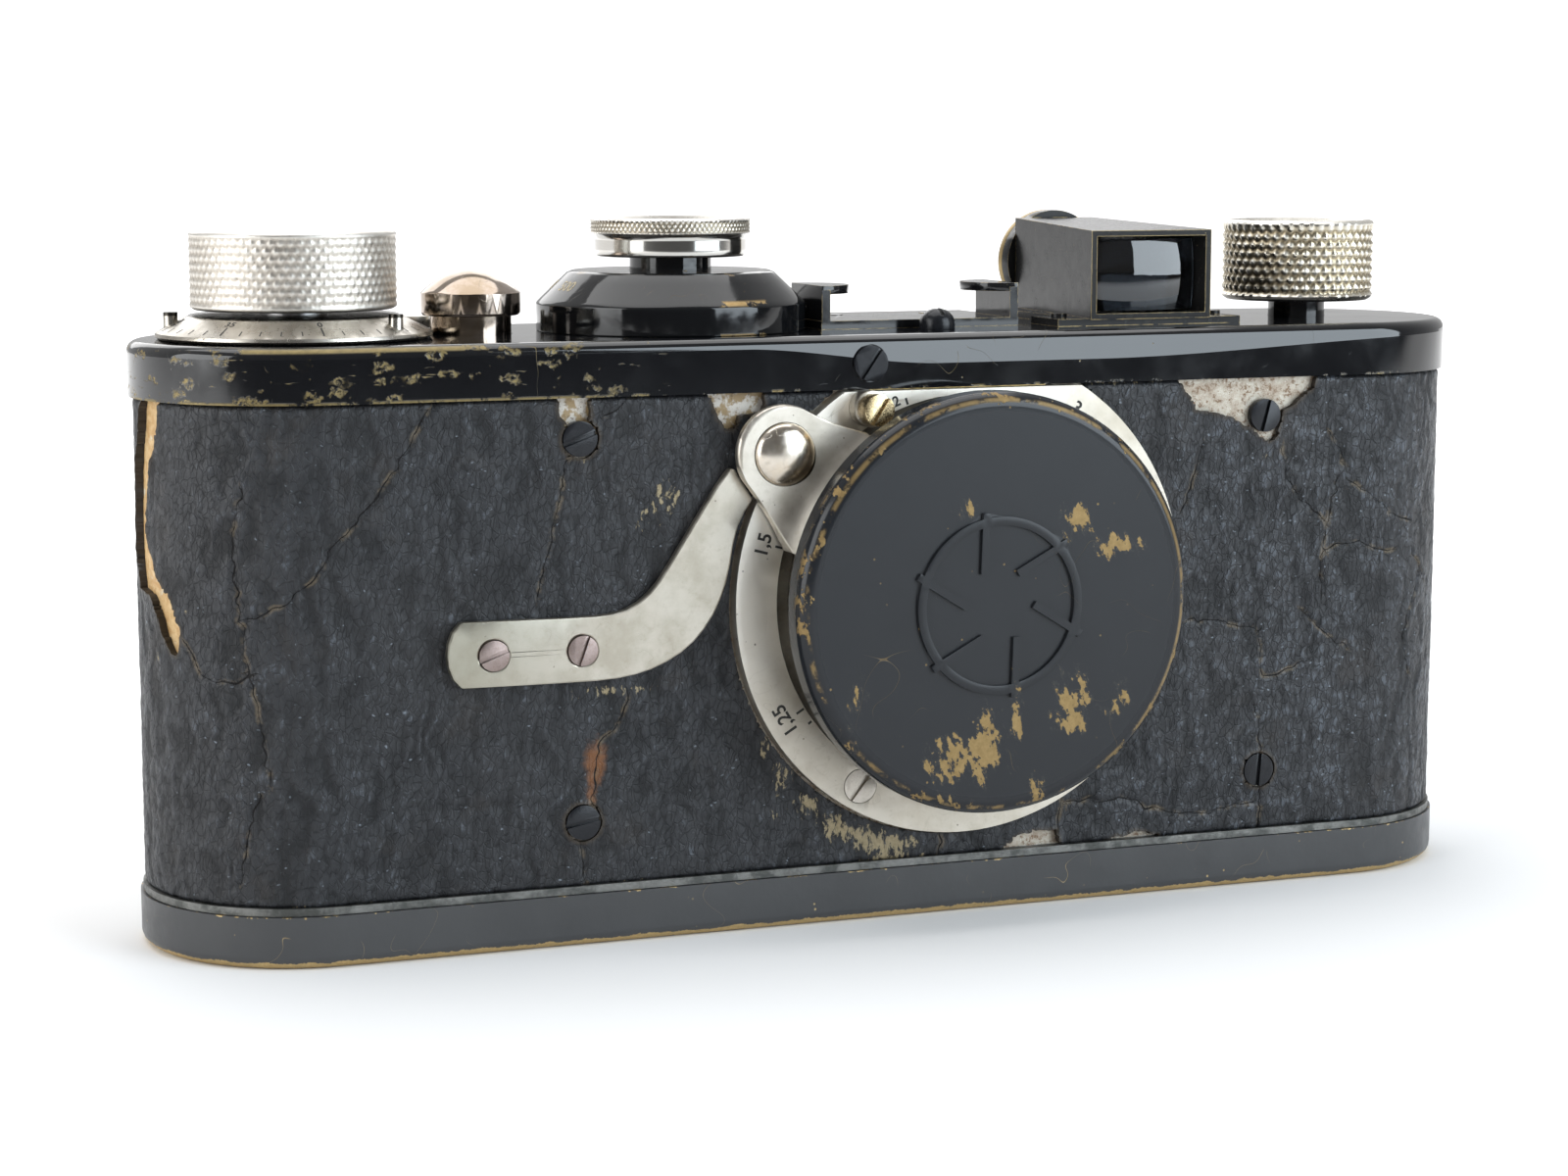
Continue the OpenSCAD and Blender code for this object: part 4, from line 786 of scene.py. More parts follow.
def fbm(f, x, y, o=4, k=0.5):
    r, a, t = 0, 1.0, 0
    for i in range(o):
        r = r + a * f(x * 2 ** i + 17.3 * i, y * 2 ** i + 5.1 * i)
        t += a
        a *= k
    return r / t


def cells(x, y, seed):
    """distance to the nearest and second nearest jittered point, for a cell pattern"""
    rs = np.random.RandomState(seed)
    jx, jy = rs.uniform(0.12, 0.88, (256, 256)), rs.uniform(0.12, 0.88, (256, 256))
    xi, yi = np.floor(x).astype(int), np.floor(y).astype(int)
    d1, d2 = np.full(x.shape, 9.0), np.full(x.shape, 9.0)
    for i in (-1, 0, 1):
        for j in (-1, 0, 1):
            a, b = (xi + i) % 256, (yi + j) % 256
            d = np.hypot(xi + i + jx[a, b] - x, yi + j + jy[a, b] - y)
            m = d < d1
            d2 = np.where(m, d1, np.minimum(d2, d))
            d1 = np.where(m, d, d1)
    return d1, d2


CRACKS = [
    [(-30.21, 44.47), (-30.77, 42.72), (-31.16, 40.53), (-31.64, 38.78), (-31.74, 37.28), (-32.4, 35.54), (-32.98, 33.09), (-33.26, 32.04)],
    [(-26.68, 48.32), (-25.66, 48.73), (-24.92, 49.41)],
    [(-24.81, 23.23), (-25.1, 21.71), (-25.77, 20.3), (-26.52, 19.44), (-27.65, 18.43), (-27.85, 17.09), (-27.87, 14.82), (-28.16, 12.84)],
    [(-29.21, 10.19), (-29.23, 8.09), (-28.88, 5.78)],
    [(-43.04, 49.24), (-43.95, 47.54), (-45.31, 45.43), (-46.66, 43.32), (-48.2, 41.22), (-49.54, 39.54), (-50.96, 38.31), (-52.03, 37.32), (-52.48, 36.04), (-53.36, 34.77), (-54.65, 33.86), (-56.38, 32.41), (-58.56, 31.35), (-59.9, 31.23)],
    [(-65.91, 28.95), (-65.0, 27.89), (-63.95, 26.05), (-62.42, 25.54), (-60.03, 25.84), (-58.94, 26.48)],
    [(-59.63, 42.71), (-60.33, 40.12), (-60.69, 36.66), (-60.06, 32.36), (-59.37, 27.17), (-58.33, 21.95), (-57.57, 16.7)],
    [(-58.47, 15.81), (-59.63, 12.25), (-60.47, 7.78)],
    [(42.27, 43.26), (42.67, 40.46), (44.13, 38.48), (45.82, 36.77), (47.29, 35.45)],
    [(48.49, 39.96), (47.79, 37.37), (47.3, 34.96), (47.02, 33.03), (46.85, 31.09), (47.04, 28.15)],
    [(47.49, 44.34), (48.98, 42.16), (49.49, 39.73), (51.86, 38.47), (53.93, 37.1), (55.72, 35.81), (57.77, 35.26)],
    [(47.02, 32.93), (49.23, 33.32), (51.11, 33.63), (52.84, 32.76), (55.42, 32.49)],
    [(32.28, 26.69), (35.73, 26.41), (38.45, 25.68), (40.09, 25.11), (40.36, 23.15), (40.63, 20.69), (42.38, 20.78), (45.11, 21.9)],
    [(39.72, 17.82), (40.31, 15.82), (40.49, 12.87)], [(40.45, 9.72), (40.52, 6.95), (40.45, 5.37)],
    [(19.55, 9.68), (21.44, 9.74), (23.76, 9.47), (26.41, 9.37), (28.56, 8.43), (31.26, 7.74), (34.5, 7.5), (37.21, 7.99), (39.94, 8.18)],
    [(60.03, 30.19), (59.48, 28.26), (58.05, 25.93), (57.3, 23.52), (57.71, 21.98), (58.35, 19.91)], [(58.27, 32.35), (60.0, 30.69), (61.11, 29.07)],
    [(44.75, 27.1), (46.68, 25.24), (48.38, 23.87), (50.07, 22.89)], [(18.8, 10.99), (18.73, 8.59), (18.54, 6.67)], [(6.15, 8.11), (6.17, 5.54)],
    [(33.54, 43.65), (32.95, 41.29), (31.93, 38.95), (31.23, 37.08)],
    # on the sides that face away: the same kind of break, of our own placing
    [(96, 47), (97.5, 43), (96.8, 39), (98.9, 34.5), (98.1, 30)], [(128, 5.8), (129, 10), (127.6, 14.5), (130, 19)], [(160, 49), (158.5, 45.5), (160.2, 41)],
    [(78, 8), (79.3, 12.4), (77.9, 17), (80.6, 21)], [(183, 22), (186, 24.5), (190, 24), (193.5, 26.2)],
]
PATCHES = [
    [(-72.02, 50.4), (-68.6, 50.4), (-69.18, 47.43), (-70.19, 44.75), (-71.16, 42.04), (-71.56, 39.37), (-71.29, 36.76), (-70.02, 34.69), (-68.01, 32.7), (-66.96, 31.22), (-66.5, 29.77), (-66.41, 28.9), (-67.1, 27.69), (-67.79, 27.71), (-68.49, 28.69), (-69.22, 29.93), (-69.67, 31.2), (-71.58, 32.57), (-73.89, 32.91), (-75.45, 36.28), (-75.38, 39.85), (-74.08, 44.41), (-73.06, 47.14)],
    [(30.98, 50.4), (31.74, 48.72), (32.62, 47.18), (35.3, 46.44), (37.78, 45.7), (39.09, 44.9), (40.74, 43.7), (41.6, 44.15), (42.1, 45.76), (42.51, 46.7), (43.9, 47.81), (45.29, 48.73), (46.03, 50.4)],
    [(-31.07, 50.4), (-28.33, 50.4), (-28.06, 48.36), (-28.62, 47.67), (-30.0, 47.54), (-30.9, 48.44)],
    [(-16.78, 50.4), (-11.45, 50.4), (-11.74, 48.31), (-13.94, 47.93), (-14.42, 46.6), (-15.08, 46.62), (-15.74, 47.54), (-16.21, 48.62)],
    [(12.13, 4.0), (13.35, 6.12), (14.89, 7.05), (16.66, 7.21), (18.33, 7.08), (18.77, 5.69), (18.57, 4.0)],
    [(23.83, 4.6), (24.5, 5.9), (26.9, 6.4), (29.17, 5.6), (29.9, 4.6)],
]


def jag(line, seed, amp=0.16, step=0.55):
    rs = np.random.RandomState(seed)
    out = []
    for (x0, y0), (x1, y1) in zip(line[:-1], line[1:]):
        L = math.hypot(x1 - x0, y1 - y0)
        k = max(1, int(L / step))
        for i in range(k):
            t = i / k
            o = rs.normal(0, amp) if i else 0
            out.append((x0 + (x1 - x0) * t - (y1 - y0) / L * o, y0 + (y1 - y0) * t + (x1 - x0) / L * o))
    out.append(line[-1])
    return out


def seg_dist(px, py, line):
    """signed distance to a polyline: the distance, and on which side the point lies"""
    best = np.full(px.shape, 1e9)
    sign = np.ones(px.shape)
    for (x0, y0), (x1, y1) in zip(line[:-1], line[1:]):
        dx, dy = x1 - x0, y1 - y0
        t = np.clip(((px - x0) * dx + (py - y0) * dy) / (dx * dx + dy * dy + 1e-12), 0, 1)
        qx, qy = px - x0 - t * dx, py - y0 - t * dy
        d = np.hypot(qx, qy)
        c = dx * qy - dy * qx
        m = d < best
        best = np.where(m, d, best)
        sign = np.where(m, np.where(c >= 0, 1.0, -1.0), sign)
    return best, sign


def poly_sdf(px, py, poly):
    """negative inside"""
    best, _ = seg_dist(px, py, poly + [poly[0]])
    inside = np.zeros(px.shape, bool)
    n = len(poly)
    for i in range(n):
        (x0, y0), (x1, y1) = poly[i], poly[(i + 1) % n]
        c = ((y0 > py) != (y1 > py)) & (px < (x1 - x0) * (py - y0) / (y1 - y0 + 1e-12) + x0)
        inside ^= c
    return np.where(inside, -best, best)


def covering():
    lo, hi = box_mm("leather_cover")
    ro = hi[1]                      # outer radius of the flat covering
    ri = box_mm("body_shell")[1][1]
    ri = ro - 0.8 if ri > ro else ri
    z0, z1 = lo[2] + 0.02, hi[2] - 0.02
    A = A_BODY
    rr = ro - 0.12                  # mean surface
    quarter = math.pi * rr / 2
    fine, coarse = 0.29, 0.8
    total_half = A + 2 * quarter    # from the front centre round an end to the rear wall's start
    us = list(np.arange(-total_half, total_half + 1e-6, fine))
    start, end = us[-1], 2 * (total_half + A) - total_half
    k = int(round((end - start) / coarse))
    us += [start + (end - start) * i / k for i in range(1, k)]
    us = np.array(us)
    nz = int(round((z1 - z0) / 0.29)) + 1
    zs = np.linspace(z0, z1, nz)
    U, Z = np.meshgrid(us, zs)      # (nz, nu)
    nu = len(us)
    hole = np.full(U.shape, 1e9)
    wob = rng_noise(41)
    for p in PATCHES:
        hole = np.minimum(hole, poly_sdf(U, Z, p) + 0.35 * fbm(wob, U * 0.9, Z * 0.9, 3))
    flr = (box_mm("lens_flange")[1][0] - box_mm("lens_flange")[0][0]) / 2
    hole = np.minimum(hole, np.hypot(U - CX, Z - CZ) - (flr + 0.28))
    sl, sh = box_mm("body_screws")
    for x in (sl[0] + 1.6, sh[0] - 1.6):
        for z in (sl[2] + 1.6, sh[2] - 1.6):
            hole = np.minimum(hole, np.hypot(U - x, Z - z) - 1.78 + 0.05 * wob(U * 1.5, Z * 1.5))
    # snap the nearest grid points onto the rim of every hole
    h = fine
    gz, gu = np.gradient(hole, zs, us)
    gl = np.hypot(gu, gz) + 1e-9
    near = (np.abs(hole) < 0.62 * h) & (us[None, :] < total_half)
    near[0, :] = near[-1, :] = False
    U2 = np.where(near, U - hole * gu / gl, U)
    Z2 = np.where(near, np.clip(Z - hole * gz / gl, z0, z1), Z)
    hole2 = np.where(near, 0.0, hole)
    hole2 = np.where(~near & (np.abs(hole2) < 1e-3), 1e-3, hole2)
    # relief
    nA, nB = rng_noise(11), rng_noise(12)
    wx, wz = 0.9 * fbm(nA, U * 0.35, Z * 0.35, 3), 0.9 * fbm(nB, U * 0.35 + 9, Z * 0.35, 3)
    d1, d2 = cells((U + wx) / 1.15, (Z + wz) / 2.3, 21)
    big = np.clip((d2 - d1) * 1.7, 0, 1) ** 0.55
    d1, d2 = cells((U + 0.6 * wx) / 0.66 + 40, (Z + 0.6 * wz) / 1.25, 22)
    small = np.clip((d2 - d1) * 1.7, 0, 1) ** 0.6
    wrk = 1 - np.abs(fbm(nB, (U + 1.6 * wx) * 0.80, (Z + wz) * 0.21, 3)) * 2.2
    relief = np.clip(0.24 * big + 0.26 * small + 0.50 * wrk, 0, 1)
    # cracks
    cd = np.full(U.shape, 9.0)
    cs = np.ones(U.shape)
    for i, c in enumerate(CRACKS):
        d, s = seg_dist(U2, Z2, jag(c, 100 + i))
        m = d < cd
        cd = np.where(m, d, cd)
        cs = np.where(m, s, cs)
    crack = cs * np.minimum(cd, 0.8)
    mask = np.clip((0.72 - cd) / 0.18, 0, 1)
    dep = np.clip(1 - cd / 0.26, 0, 1)
    lip = np.clip(1 - np.abs(cd - 0.42) / 0.4, 0, 1)
    curl = np.clip(1 - np.abs(hole2) / 1.1, 0, 1) ** 2
    flo = np.hypot(U - CX, Z - CZ) - flr
    curl = curl * np.clip((flo - 0.6) / 0.6, 0, 1)
    swell = fbm(rng_noise(5), U * 0.07, Z * 0.07, 3)
    edge = np.minimum(Z - z0, z1 - Z)
    r = rr - 0.13 + 0.17 * relief + 0.05 * swell - 0.22 * dep + 0.05 * lip + 0.20 * curl * (0.6 + 0.8 * wob(U * 0.5, Z * 0.5))
    r = r - 0.22 * np.clip(1 - edge / 0.35, 0, 1)
    r = np.minimum(r, ro + 0.16)
    r = np.maximum(r, ri + 0.12)
    # scuffs, rust, and rubbing that also raises the painted crest highlights, as soft fields
    g = lambda x, z, a, b, k=1.0: k * np.exp(-((U - x) / a) ** 2 - ((Z - z) / b) ** 2)
    scuff = g(-11.6, 17.0, 0.9, 1.5, 0.85) + g(-9.8, 14.2, 1.3, 1.7, 1.0) + g(-7.4, 11.6, 1.6, 1.7, 1.0) + g(-4.6, 9.2, 1.9, 1.7, 1.0) + g(-1.4, 7.6, 2.3, 1.7, 1.0) + g(2.2, 6.9, 2.6, 1.4, 0.95) + g(-10.6, 10.8, 1.1, 1.0, 0.75) + g(-21, 41, 2.4, 2.6, 0.85) + g(-23.5, 38.6, 1.6, 2.0, 0.5)
    scuff += g(-27, 23.4, 7.5, 0.9, 0.8) + g(-19.2, 27.5, 1.0, 3.0, 0.4) + g(-52, 41, 1.2, 2.5, 0.3) + g(-50.5, 38, 3.0, 1.2, 0.5) + g(-29, 44, 1.4, 1.4, 0.6) + g(22, 8.9, 5, 0.7, 0.5)
    scuff += g(-66, 34, 1.2, 5, 0.55) + g(-70, 27, 3, 1.2, 0.6) + g(40.5, 42.5, 1.6, 0.9, 0.6) + g(110, 8, 7, 3, 0.8) + g(150, 44, 5, 3, 0.6) + g(190, 12, 4, 4, 0.6)
    scuff += 0.75 * np.clip(1 - np.abs(edge) / 0.7, 0, 1) * np.clip(0.5 + fbm(rng_noise(77), U * 0.12, Z * 0.3, 3), 0, 1)
    rust = g(-27.9, 17.0, 1.3, 2.4, 1.0) + g(-28.4, 13.6, 0.7, 1.6, 0.6) + g(-60, 12, 1.0, 2.0, 0.35) + g(100, 20, 1.5, 2.2, 0.6)
    # more rubbed specks and more painted crest highlights towards the right of the front and round (-50, 20)
    rub_and_glint = np.clip((U - 18) / 22, 0, 1) * np.clip((75 - U) / 10, 0, 1) * 0.9 + 0.35 * g(-50, 20, 18, 14) + 0.2
    # world positions: u runs along the front, round the ends and along the back
    def place(u, z, r):
        P = np.zeros(u.shape + (3,))
        front = np.abs(u) <= A
        P[..., 0] = u
        P[..., 1] = -r
        sgn = np.sign(u)
        ph = (np.abs(u) - A) / rr
        endm = (~front) & (ph <= math.pi)
        P[..., 0] = np.where(endm, sgn * (A + r * np.sin(ph)), P[..., 0])
        P[..., 1] = np.where(endm, -r * np.cos(ph), P[..., 1])
        back = (~front) & (~endm)
        # rear wall: u from total_half onwards runs back from +A to -A
        ub = np.where(u > 0, total_half + 0 * u, 0)
        P[..., 0] = np.where(back, A - (u - total_half), P[..., 0])
        P[..., 1] = np.where(back, r, P[..., 1])
        P[..., 2] = z
        return P
    outer = place(U2, Z2, r).reshape(-1, 3)
    inner = place(U2, Z2, np.full(U.shape, ri + 0.02)).reshape(-1, 3)
    # quads that lie wholly outside the holes
    I = np.arange(nz * nu).reshape(nz, nu)
    cols = np.arange(nu)
    nxt = (cols + 1) % nu
    a, b = I[:-1, :], I[:-1, :][:, nxt]
    c, d = I[1:, :][:, nxt], I[1:, :]
    hv = hole2.ravel()
    quads = np.stack([a, b, c, d], -1).reshape(-1, 4)
    hq = hv[quads]
    keep = (hq >= -1e-9).all(1) & (hq.max(1) > 0)
    quads = quads[keep]
    # rear wall: no holes were cut there, but keep the seam closed
    N = nz * nu
    inner_quads = quads[:, ::-1] + N
    # rim faces along open edges
    e = np.concatenate([quads[:, [0, 1]], quads[:, [1, 2]], quads[:, [2, 3]], quads[:, [3, 0]]])
    key = np.minimum(e[:, 0], e[:, 1]) * (2 * N) + np.maximum(e[:, 0], e[:, 1])
    uq, inv, cnt = np.unique(key, return_inverse=True, return_counts=True)
    open_e = e[cnt[inv] == 1]
    rim = np.stack([open_e[:, 1], open_e[:, 0], open_e[:, 0] + N, open_e[:, 1] + N], 1)
    V = np.concatenate([outer, inner])
    F = np.concatenate([quads, inner_quads, rim])
    used = np.unique(F)
    remap = np.full(2 * N, -1)
    remap[used] = np.arange(len(used))
    two = lambda q: np.concatenate([q.ravel(), q.ravel()])[used]
    # u for the shader, continued smoothly; the ends of the loop meet at the rear left corner
    attrs = {"relief": two(relief), "crack": two(crack), "crackmask": two(mask), "tear": two(np.clip(hole2, 0, 2) + np.clip(1 - np.clip(flo, 0, 1), 0, 1) * 0.6),
             "scuff": two(np.clip(scuff, 0, 1.3)), "rust": two(np.clip(rust, 0, 1)), "rub_and_glint": two(rub_and_glint), "u_mm": two(U2), "w_mm": two(Z2)}
    return new_piece("covering_wrinkled", V[used], remap[F], M["covering"], "camera", ("leather_cover",), 75, attrs)


covering()


# ------------------------------------------------------------------ focusing lever: turned tube with a dished, flared lever plate
def lens_pt(x, y, h):
    return (CX + x, -h, CZ + y)


def lathe_lens(name, prof, n, mat, body, replaces=(), closed=True, angle=36):
    V = []
    for r, h in prof:
        for i in range(n):
            a = 2 * math.pi * i / n
            V.append(lens_pt(r * math.cos(a), r * math.sin(a), h))
    F = []
    m = len(prof)
    for j in range(m if closed else m - 1):
        for i in range(n):
            a, b = j * n + i, j * n + (i + 1) % n
            c, d = ((j + 1) % m) * n + (i + 1) % n, ((j + 1) % m) * n + i
            F.append((a, d, c, b))
    return new_piece(name, V, F, mat, body, replaces, angle)


tlo, thi = box_mm("focus_lever")
blo, bhi = box_mm("infinity_button")
bx, bz = (blo[0] + bhi[0]) / 2 - CX, (blo[2] + bhi[2]) / 2 - CZ        # lobe centre
H0, H1 = -thi[1], -tlo[1]                                              # lever's back and front
r_in, r_out = 15.08, 17.6
prof = [(r_in, H0), (r_out, H0), (r_out, H1 - 0.25), (r_out - 0.07, H1 - 0.08), (r_out - 0.25, H1), (r_in + 0.2, H1), (r_in, H1 - 0.2)]
lathe_lens("lever_tube", prof, 160, M["nickel_turned"], "focus", ("focus_lever",))


def lever_outline():
    """outer edge of the plate as points in polar order, from the lower tip over the lobe to the upper tip"""
    tipA, tipB = (-18.25, 5.0), (-10.9, 15.75)
    pts = []
    # tangent from each tip to the lobe circle
    R = bx - (tlo[0] - CX)                                              # the lobe reaches the lever's left side
    def tangent(p, side):
        dx, dy = p[0] - bx, p[1] - bz
        d = math.hypot(dx, dy)
        a0, off = math.atan2(dy, dx), math.acos(R / d)
        a = a0 + side * off
        return a
    a1, a2 = tangent(tipA, -1), tangent(tipB, 1)
    # the straight edges bow in very slightly
    def straight(p, q, n, bow):
        out = []
        for i in range(n):
            t = i / n
            nx, ny = -(q[1] - p[1]), q[0] - p[0]
            L = math.hypot(nx, ny)
            k = bow * math.sin(math.pi * t)
            out.append((p[0] + (q[0] - p[0]) * t + nx / L * k, p[1] + (q[1] - p[1]) * t + ny / L * k))
        return out
    A1 = (bx + R * math.cos(a1), bz + R * math.sin(a1))
    A2 = (bx + R * math.cos(a2), bz + R * math.sin(a2))
    pts += straight(tipA, A1, 14, -0.25)
    while a2 > a1:
        a2 -= 2 * math.pi
    if a1 - a2 > math.pi * 2:
        a2 += 2 * math.pi
    n = 40
    for i in range(n + 1):
        a = a1 + (a2 - a1) * i / n
        pts.append((bx + R * math.cos(a), bz + R * math.sin(a)))
    pts += straight(A2, tipB, 14, -0.25)[1:] + [tipB]
    return pts


def lever_plate():
    out = lever_outline()
    rows = 30
    cols = len(out)
    zf, zb = 17.0, 16.1

    def top(r):
        t = np.clip((22.3 - r) / (22.3 - 17.45), 0, 1)
        return zf + (H1 - 0.12 - zf) * (0.22 * t ** 1.5 + 0.78 * t ** 3.2)
    V, F = [], []
    # radial grid from the tube out to the outline, on rays through the outline's points
    for i, (x, y) in enumerate(out):
        ro_ = math.hypot(x, y)
        ux, uy = x / ro_, y / ro_
        rs_ = 17.2
        for j in range(rows + 1):
            t = j / rows
            t = t ** 0.8
            r = rs_ + (max(ro_, rs_ + 0.02) - rs_) * t
            h = float(top(r))
            # rounded outer edge
            dedge = (ro_ - r)
            if dedge < 0.22:
                h -= 0.22 - math.sqrt(max(0.0, 0.22 ** 2 - (0.22 - dedge) ** 2))
            V.append(lens_pt(ux * r, uy * r, h))
    base = len(V)
    for i, (x, y) in enumerate(out):
        ro_ = math.hypot(x, y)
        ux, uy = x / ro_, y / ro_
        for j in range(rows + 1):
            t = (j / rows) ** 0.8
            r = 17.2 + (max(ro_, 17.22) - 17.2) * t
            V.append(lens_pt(ux * r, uy * r, zb))
    w = rows + 1
    for i in range(cols - 1):
        for j in range(rows):
            a = i * w + j
            F.append((a, a + 1, a + w + 1, a + w))
            F.append((base + a, base + a + w, base + a + w + 1, base + a + 1))
        F.append((i * w + rows, base + i * w + rows, base + (i + 1) * w + rows, (i + 1) * w + rows))
        F.append((i * w, (i + 1) * w, base + (i + 1) * w, base + i * w))
    for i in (0, cols - 1):
        for j in range(rows):
            a = i * w + j
            q = (a, base + a, base + a + 1, a + 1)
            F.append(q if i == 0 else q[::-1])
    o = new_piece("lever_plate", V, F, M["nickel_lever"], "focus", (), 50)
    bm = bmesh.new()
    bm.from_mesh(o.data)
    bmesh.ops.remove_doubles(bm, verts=bm.verts, dist=1e-6)
    bmesh.ops.recalc_face_normals(bm, faces=bm.faces)
    bm.to_mesh(o.data)
    bm.free()
    # hole for the button
    n = 64
    cut_v, cut_f = [], []
    rb = (bhi[0] - blo[0]) / 2 + 0.06
    for h in (15.0, 19.5):
        for i in range(n):
            a = 2 * math.pi * i / n
            cut_v.append(Vector(lens_pt(bx + rb * math.cos(a), bz + rb * math.sin(a), h)) * MM)
    cut_f = [(i, (i + 1) % n, n + (i + 1) % n, n + i) for i in range(n)] + [tuple(range(n - 1, -1, -1)), tuple(range(n, 2 * n))]
    cm = bpy.data.meshes.new("cutter")
    cm.from_pydata(cut_v, [], cut_f)
    bm = bmesh.new()
    bm.from_mesh(cm)
    bmesh.ops.recalc_face_normals(bm, faces=bm.faces)
    bm.to_mesh(cm)
    bm.free()
    co = bpy.data.objects.new("cutter", cm)
    bpy.context.scene.collection.objects.link(co)
    md = o.modifiers.new("hole", "BOOLEAN")
    md.operation, md.solver, md.object = "DIFFERENCE", "EXACT", co
    bpy.context.view_layer.update()
    dg = bpy.context.evaluated_depsgraph_get()
    me = bpy.data.meshes.new_from_object(o.evaluated_get(dg))
    o.modifiers.clear()
    o.data = me
    me.polygons.foreach_set("use_smooth", [True] * len(me.polygons))
    me.set_sharp_from_angle(angle=math.radians(50))
    bpy.data.objects.remove(co)
    return o


lever_plate()


# ------------------------------------------------------------------ finder glass, bulging a little
def finder_glass():
    lo, hi = box_mm("finder_front_lens")
    nx, nz = 28, 20
    x0, x1, z0, z1 = lo[0] + 0.05, hi[0] - 0.05, lo[2] + 0.05, hi[2] - 0.05
    yb = hi[1]
    cx, cz = (x0 + x1) / 2, (z0 + z1) / 2
    R = 15.0
    V, F = [], []
    for side in (0, 1):
        for j in range(nz + 1):
            for i in range(nx + 1):
                x, z = x0 + (x1 - x0) * i / nx, z0 + (z1 - z0) * j / nz
                d2 = (x - cx) ** 2 + (z - cz) ** 2
                y = lo[1] + 0.02 + (R - math.sqrt(R * R - d2)) if side == 0 else yb
                V.append((x, y, z))
    w = nx + 1
    off = w * (nz + 1)
    for j in range(nz):
        for i in range(nx):
            a = j * w + i
            F.append((a, a + 1, a + w + 1, a + w))
            F.append((off + a, off + a + w, off + a + w + 1, off + a + 1))
    ring = [i for i in range(w)] + [j * w + nx for j in range(1, nz + 1)] + [nz * w + i for i in range(nx - 1, -1, -1)] + [j * w for j in range(nz - 1, 0, -1)]
    for a, b in zip(ring, ring[1:] + ring[:1]):
        F.append((b, a, off + a, off + b))
    return new_piece("finder_glass", V, F, M["glass_dark"], "camera", ("finder_front_lens",), 40)


finder_glass()


# ------------------------------------------------------------------ numbers and marks
def text_mesh(txt, size, place_fn, name, body, mat, slot, depth=0.02, bold=0.0):
    cu = bpy.data.curves.new(name, "FONT")
    cu.body, cu.size, cu.align_x, cu.align_y = txt, size, "CENTER", "CENTER"
    cu.offset = bold
    cu.fill_mode = "BOTH"
    cu.extrude = depth / 2
    cu.resolution_u = 3
    ob = bpy.data.objects.new(name, cu)
    bpy.context.scene.collection.objects.link(ob)
    bpy.context.view_layer.update()
    dg = bpy.context.evaluated_depsgraph_get()
    me = bpy.data.meshes.new_from_object(ob.evaluated_get(dg))
    V = [place_fn(v.co.x, v.co.y, v.co.z) for v in me.vertices]
    F = [tuple(p.vertices) for p in me.polygons]
    bpy.data.objects.remove(ob)
    bpy.data.meshes.remove(me)
    return V, F


def join_parts(name, parts, mat, body):
    V, F = [], []
    for v, f in parts:
        k = len(V)
        V += list(v)
        F += [tuple(i + k for i in q) for q in f]
    o = new_piece(name, V, F, mat, body, (), 30, smooth=False)
    bm = bmesh.new()
    bm.from_mesh(o.data)
    bmesh.ops.remove_doubles(bm, verts=bm.verts, dist=1e-7)
    bmesh.ops.recalc_face_normals(bm, faces=bm.faces)
    bm.to_mesh(o.data)
    bm.free()
    return o


def prism(pts_lo, pts_hi):
    n = len(pts_lo)
    V = list(pts_lo) + list(pts_hi)
    F = [tuple(range(n - 1, -1, -1)), tuple(range(n, 2 * n))] + [(i, (i + 1) % n, n + (i + 1) % n, n + i) for i in range(n)]
    return V, F


FH = -box_mm("lens_flange")[0][1]       # flange face height


def radial_place(r, adeg, h):
    a = math.radians(adeg)
    up = (math.cos(a), math.sin(a))
    rt = (math.sin(a), -math.cos(a))

    def f(x, y, z):
        return lens_pt(up[0] * (r + y) + rt[0] * x, up[1] * (r + y) + rt[1] * x, h + z)
    return f


parts = []
for txt, r, a, size in (("1,5", 20.75, 164.6, 1.85), ("1,25", 20.9, -148.8, 1.85), ("2", 19.5, 110.8, 1.35), ("3", 20.6, 56.0, 1.8), ("1", 20.9, -176.0, 0.01)):
    if size > 0.1:
        parts.append(text_mesh(txt, size, radial_place(r, a, FH + 0.005), "num", None, None, None, 0.02, 0.035))
for a, r0, r1 in ((164.2, 18.85, 19.6), (-148.4, 18.85, 19.7), (107.9, 18.85, 19.5), (55.8, 18.85, 19.55), (-144.0, 18.9, 19.3), (20, 18.9, 19.5), (-30, 18.9, 19.5), (-70, 18.9, 19.5), (-100, 18.9, 19.5)):
    f = radial_place(0, a, FH + 0.005)
    w = 0.11
    lo_ = [f(-w, r0, -0.01), f(w, r0, -0.01), f(w, r1, -0.01), f(-w, r1, -0.01)]
    hi_ = [f(-w, r0, 0.01), f(w, r0, 0.01), f(w, r1, 0.01), f(-w, r1, 0.01)]
    parts.append(prism(lo_, hi_))
f = radial_place(18.95, 77.0, FH + 0.005)
parts.append(prism([f(0.17 * math.cos(t), 0.17 * math.sin(t), -0.01) for t in np.linspace(0, 2 * math.pi, 13)[:-1]],
                   [f(0.17 * math.cos(t), 0.17 * math.sin(t), 0.01) for t in np.linspace(0, 2 * math.pi, 13)[:-1]]))
join_parts("distance_marks", parts, M["mark_paint"], "camera")

# frame counter: ticks on the cone
parts = []
dl, dh = box_mm("counter_dial")
d_r = (dh[0] - dl[0]) / 2
ca, cb = (d_r - 0.1, 0.60), (9.75, 1.95)


